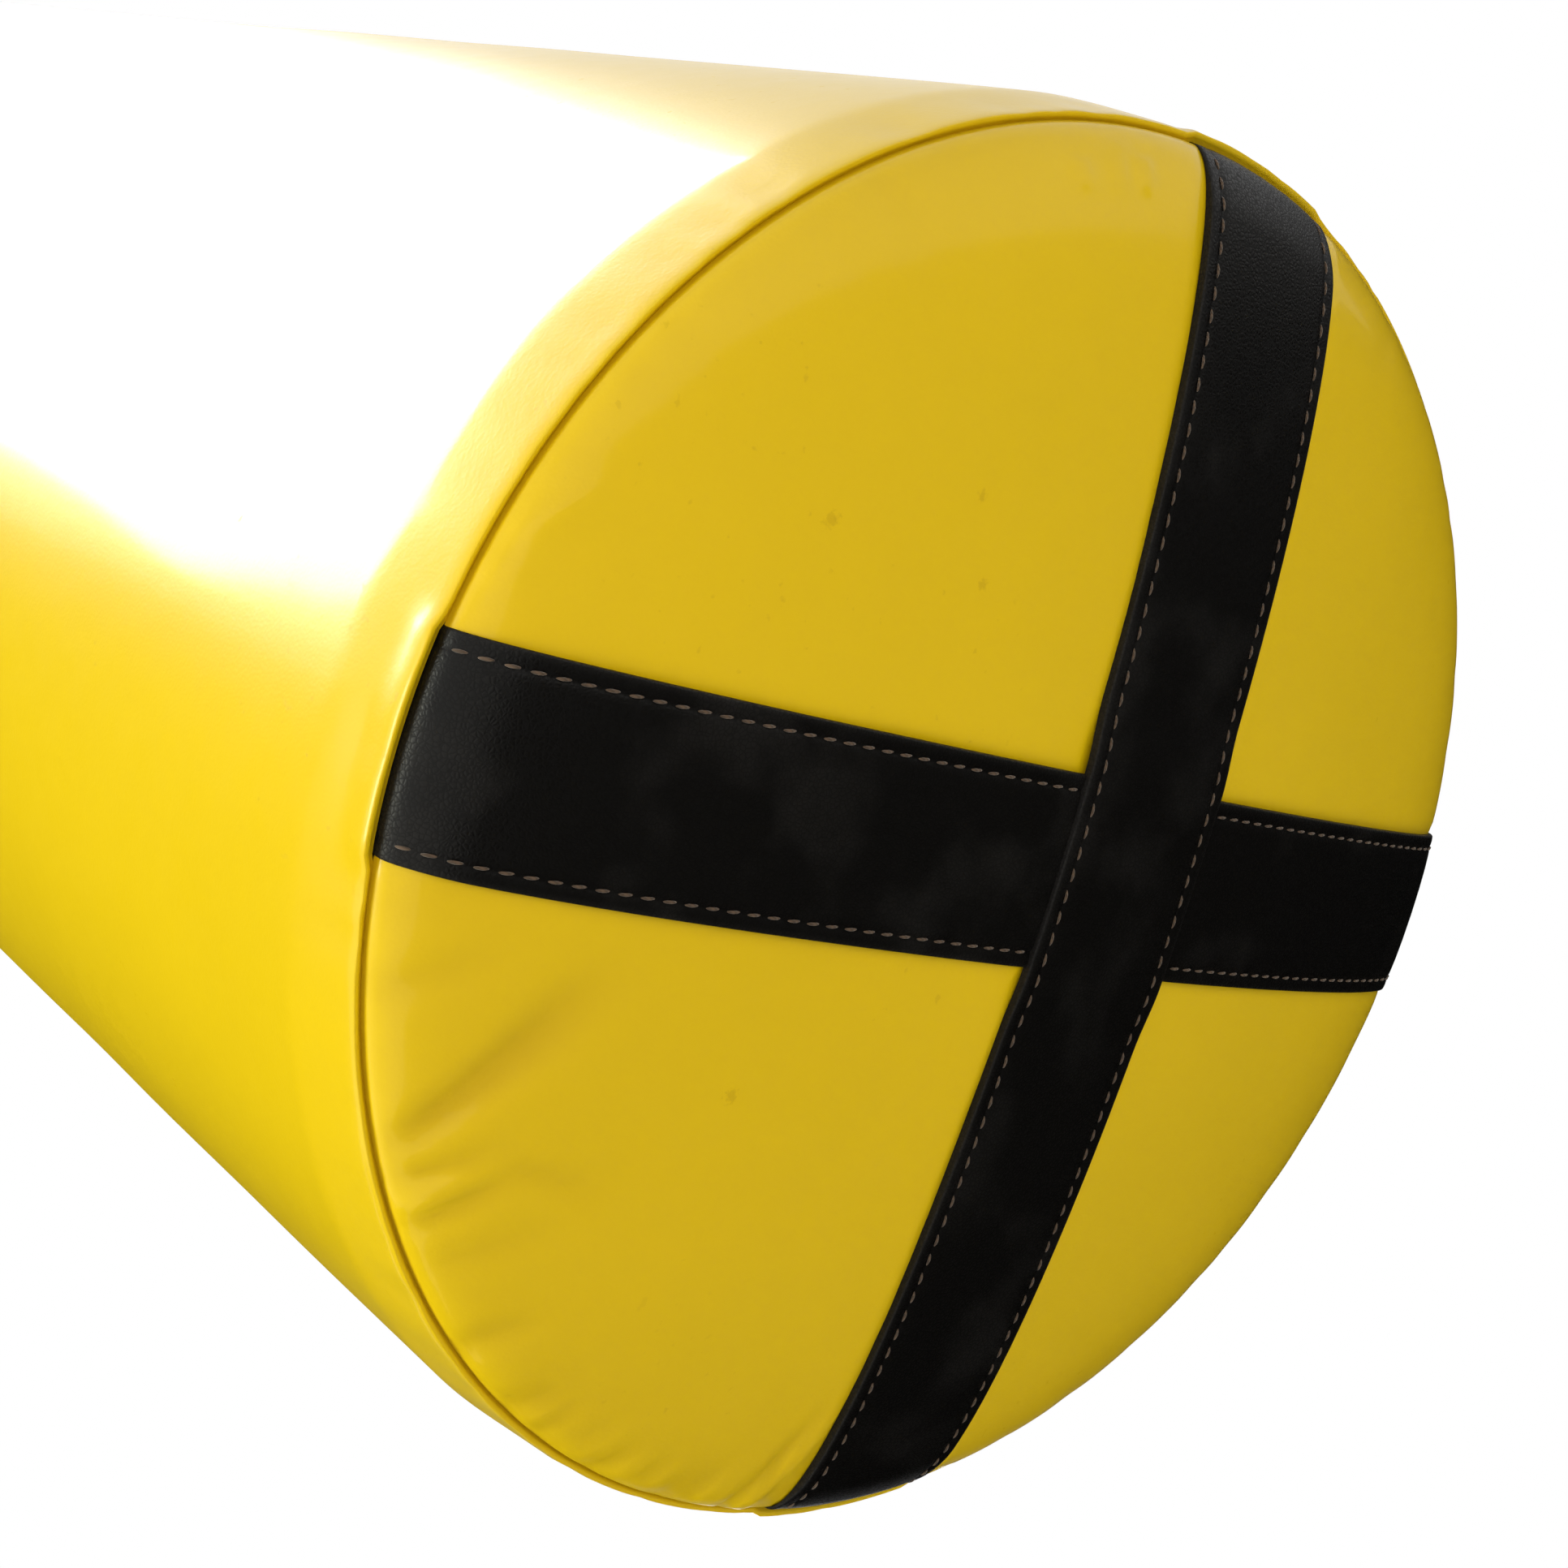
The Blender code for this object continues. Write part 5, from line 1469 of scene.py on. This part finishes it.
# Black cards, each between two corners
CARDS = {
    "floor_card": ((-3.4, -0.45, CARD_Z - 0.01), (1.9, 3.4, CARD_Z)),
    "back_card": ((-3.4, 3.4, CARD_Z), (2.4, 3.41, 0.8)),
    "left_card": ((-3.41, -1.6, CARD_Z), (-3.4, 3.4, 0.8)),
    "high_card": ((-5.0, -4.0, 2.2), (-0.35, 4.0, 2.21)),
}
FLOOR_CARD_END = Vector((0.467, 0.1, CARD_Z))
FLOOR_CARD_WAY = Vector((0.95, -0.34, 0))


def soft_light(name, place, aim, size, power, seen_by, tint, spread):
    """A softbox that the camera doesn't see."""
    data = bpy.data.lights.new(name, "AREA")
    data.shape = "RECTANGLE"
    data.size, data.size_y = size
    data.energy = power
    data.color = tint
    data.spread = radians(spread)
    lamp = add_object(name, data)
    lamp.location = SEAM + Vector(place)
    lamp.rotation_euler = (UP * aim - Vector(place)).to_track_quat("-Z", "Y").to_euler()
    lamp.visible_camera = False
    lamp.visible_diffuse = seen_by != "glossy"
    lamp.visible_glossy = seen_by != "diffuse"


def dark_card(name, low, high):
    """A black card that only reflections see. It keeps the white round the bag out of the
    vinyl's gloss, where the photograph shows clean yellow."""
    shape = block(low, high)
    if name == "floor_card":
        bmesh.ops.bisect_plane(shape, geom=shape.verts[:] + shape.edges[:] + shape.faces[:],
                               plane_co=FLOOR_CARD_END, plane_no=FLOOR_CARD_WAY,
                               clear_outer=True)
    black = Finish(name, base_color=(0.01, 0.01, 0.01), specular_ior_level=0.0)
    card = add_shape(name, shape, black)
    card.visible_camera = card.visible_diffuse = False
    card.visible_shadow = card.visible_transmission = False


def floor_finish(shade):
    """A plain floor that looks brighter than it is, and goes white far from the bag."""
    made = Finish("studio_floor", roughness=0.75)
    made.feed(base_color=made.mix(made.clouds(0.02, 3.0) * 0.06, shade, scaled(shade, 0.9)))
    distance = made.node("ShaderNodeVectorMath", {"operation": "LENGTH"}, {0: made.place}, "Value")
    white = made.node("ShaderNodeEmission", None, {"Color": (1, 1, 1), "Strength": 1.0})
    pale = made.seen() * (0.45 + made.ramp(distance, 2.6, 5.0) * 0.55)
    mixed = made.node("ShaderNodeMixShader", None,
                      {0: pale, 1: Value(made, made.shader.outputs[0]), 2: white})
    made.put(made.tree.nodes["Material Output"].inputs["Surface"], mixed)
    made.material.cycles.emission_sampling = "NONE"
    return made


def set_world():
    """White where it is seen, and a dim warm light on the bag."""
    world = bpy.data.worlds.new("studio")
    bpy.context.scene.world = world
    world.use_nodes = True
    nodes = Nodes(world.node_tree)
    light = nodes.node("ShaderNodeBackground", None, {"Color": (1, 0.89, 0.72), "Strength": 0.24})
    white = nodes.node("ShaderNodeBackground", None, {"Color": (1, 1, 1), "Strength": 1.0})
    mixed = nodes.node("ShaderNodeMixShader", None, {0: nodes.seen(), 1: light, 2: white})
    nodes.put(world.node_tree.nodes["World Output"].inputs["Surface"], mixed)


class PUNCHINGBAG_OT_stage(bpy.types.Operator):
    """Makes the camera at the photograph's angle, the lights, the floor and the background"""

    bl_idname = "punchingbag.stage"
    bl_label = "Add Stage"

    def execute(self, context):
        scene = context.scene
        data = bpy.data.cameras.new("picture_camera")
        data.lens = PICTURE_LENS
        data.clip_start = 0.01
        camera = add_object("picture_camera", data)
        back = PICTURE_RIGHT.cross(-PICTURE_DOWN)
        camera.matrix_world = frame_at(CAMERA_PLACE, PICTURE_RIGHT, -PICTURE_DOWN, back)
        scene.camera = camera
        scene.view_settings.view_transform = "Standard"

        shape = bmesh.new()
        bmesh.ops.create_circle(shape, cap_ends=True, segments=64, radius=14)
        floor = add_shape("floor", shape, floor_finish(scene.bag_colours.floor))
        floor.location.z = FLOOR_Z
        for name, light in LIGHTS.items():
            soft_light(name, *light)
        for name, corners in CARDS.items():
            dark_card(name, *corners)
        set_world()
        return {"FINISHED"}


OPERATORS = (
    PUNCHINGBAG_OT_skin,
    PUNCHINGBAG_OT_bottom,
    PUNCHINGBAG_OT_straps,
    PUNCHINGBAG_OT_top,
    PUNCHINGBAG_OT_zip,
    PUNCHINGBAG_OT_band,
    PUNCHINGBAG_OT_hangers,
    PUNCHINGBAG_OT_welt,
    PUNCHINGBAG_OT_chains,
    PUNCHINGBAG_OT_swivel,
    PUNCHINGBAG_OT_inside,
    PUNCHINGBAG_OT_stage,
)


class PUNCHINGBAG_PT_panel(bpy.types.Panel):
    """Lists the bag's pieces, sizes and colours"""

    bl_label = "Punching Bag"
    bl_idname = "PUNCHINGBAG_PT_panel"
    bl_space_type = "VIEW_3D"
    bl_region_type = "UI"
    bl_category = "Punching Bag"

    def draw(self, context):
        layout = self.layout
        for operator in OPERATORS:
            layout.operator(operator.bl_idname)
        scene = context.scene
        for title, group in (("Sizes", scene.bag_sizes), ("Colours", scene.bag_colours)):
            layout.label(text=title)
            for name in group.__annotations__:
                layout.prop(group, name, text=name.replace("_", " ").title())


CLASSES = (BagSizes, BagColours, *OPERATORS, PUNCHINGBAG_PT_panel)


def register():
    for kind in CLASSES:
        bpy.utils.register_class(kind)
    bpy.types.Scene.bag_sizes = PointerProperty(type=BagSizes)
    bpy.types.Scene.bag_colours = PointerProperty(type=BagColours)


def unregister():
    del bpy.types.Scene.bag_colours
    del bpy.types.Scene.bag_sizes
    for kind in reversed(CLASSES):
        bpy.utils.unregister_class(kind)


def main():
    register()
    for operator in OPERATORS:
        group, name = operator.bl_idname.split(".")
        getattr(getattr(bpy.ops, group), name)()


if __name__ == "__main__":
    main()
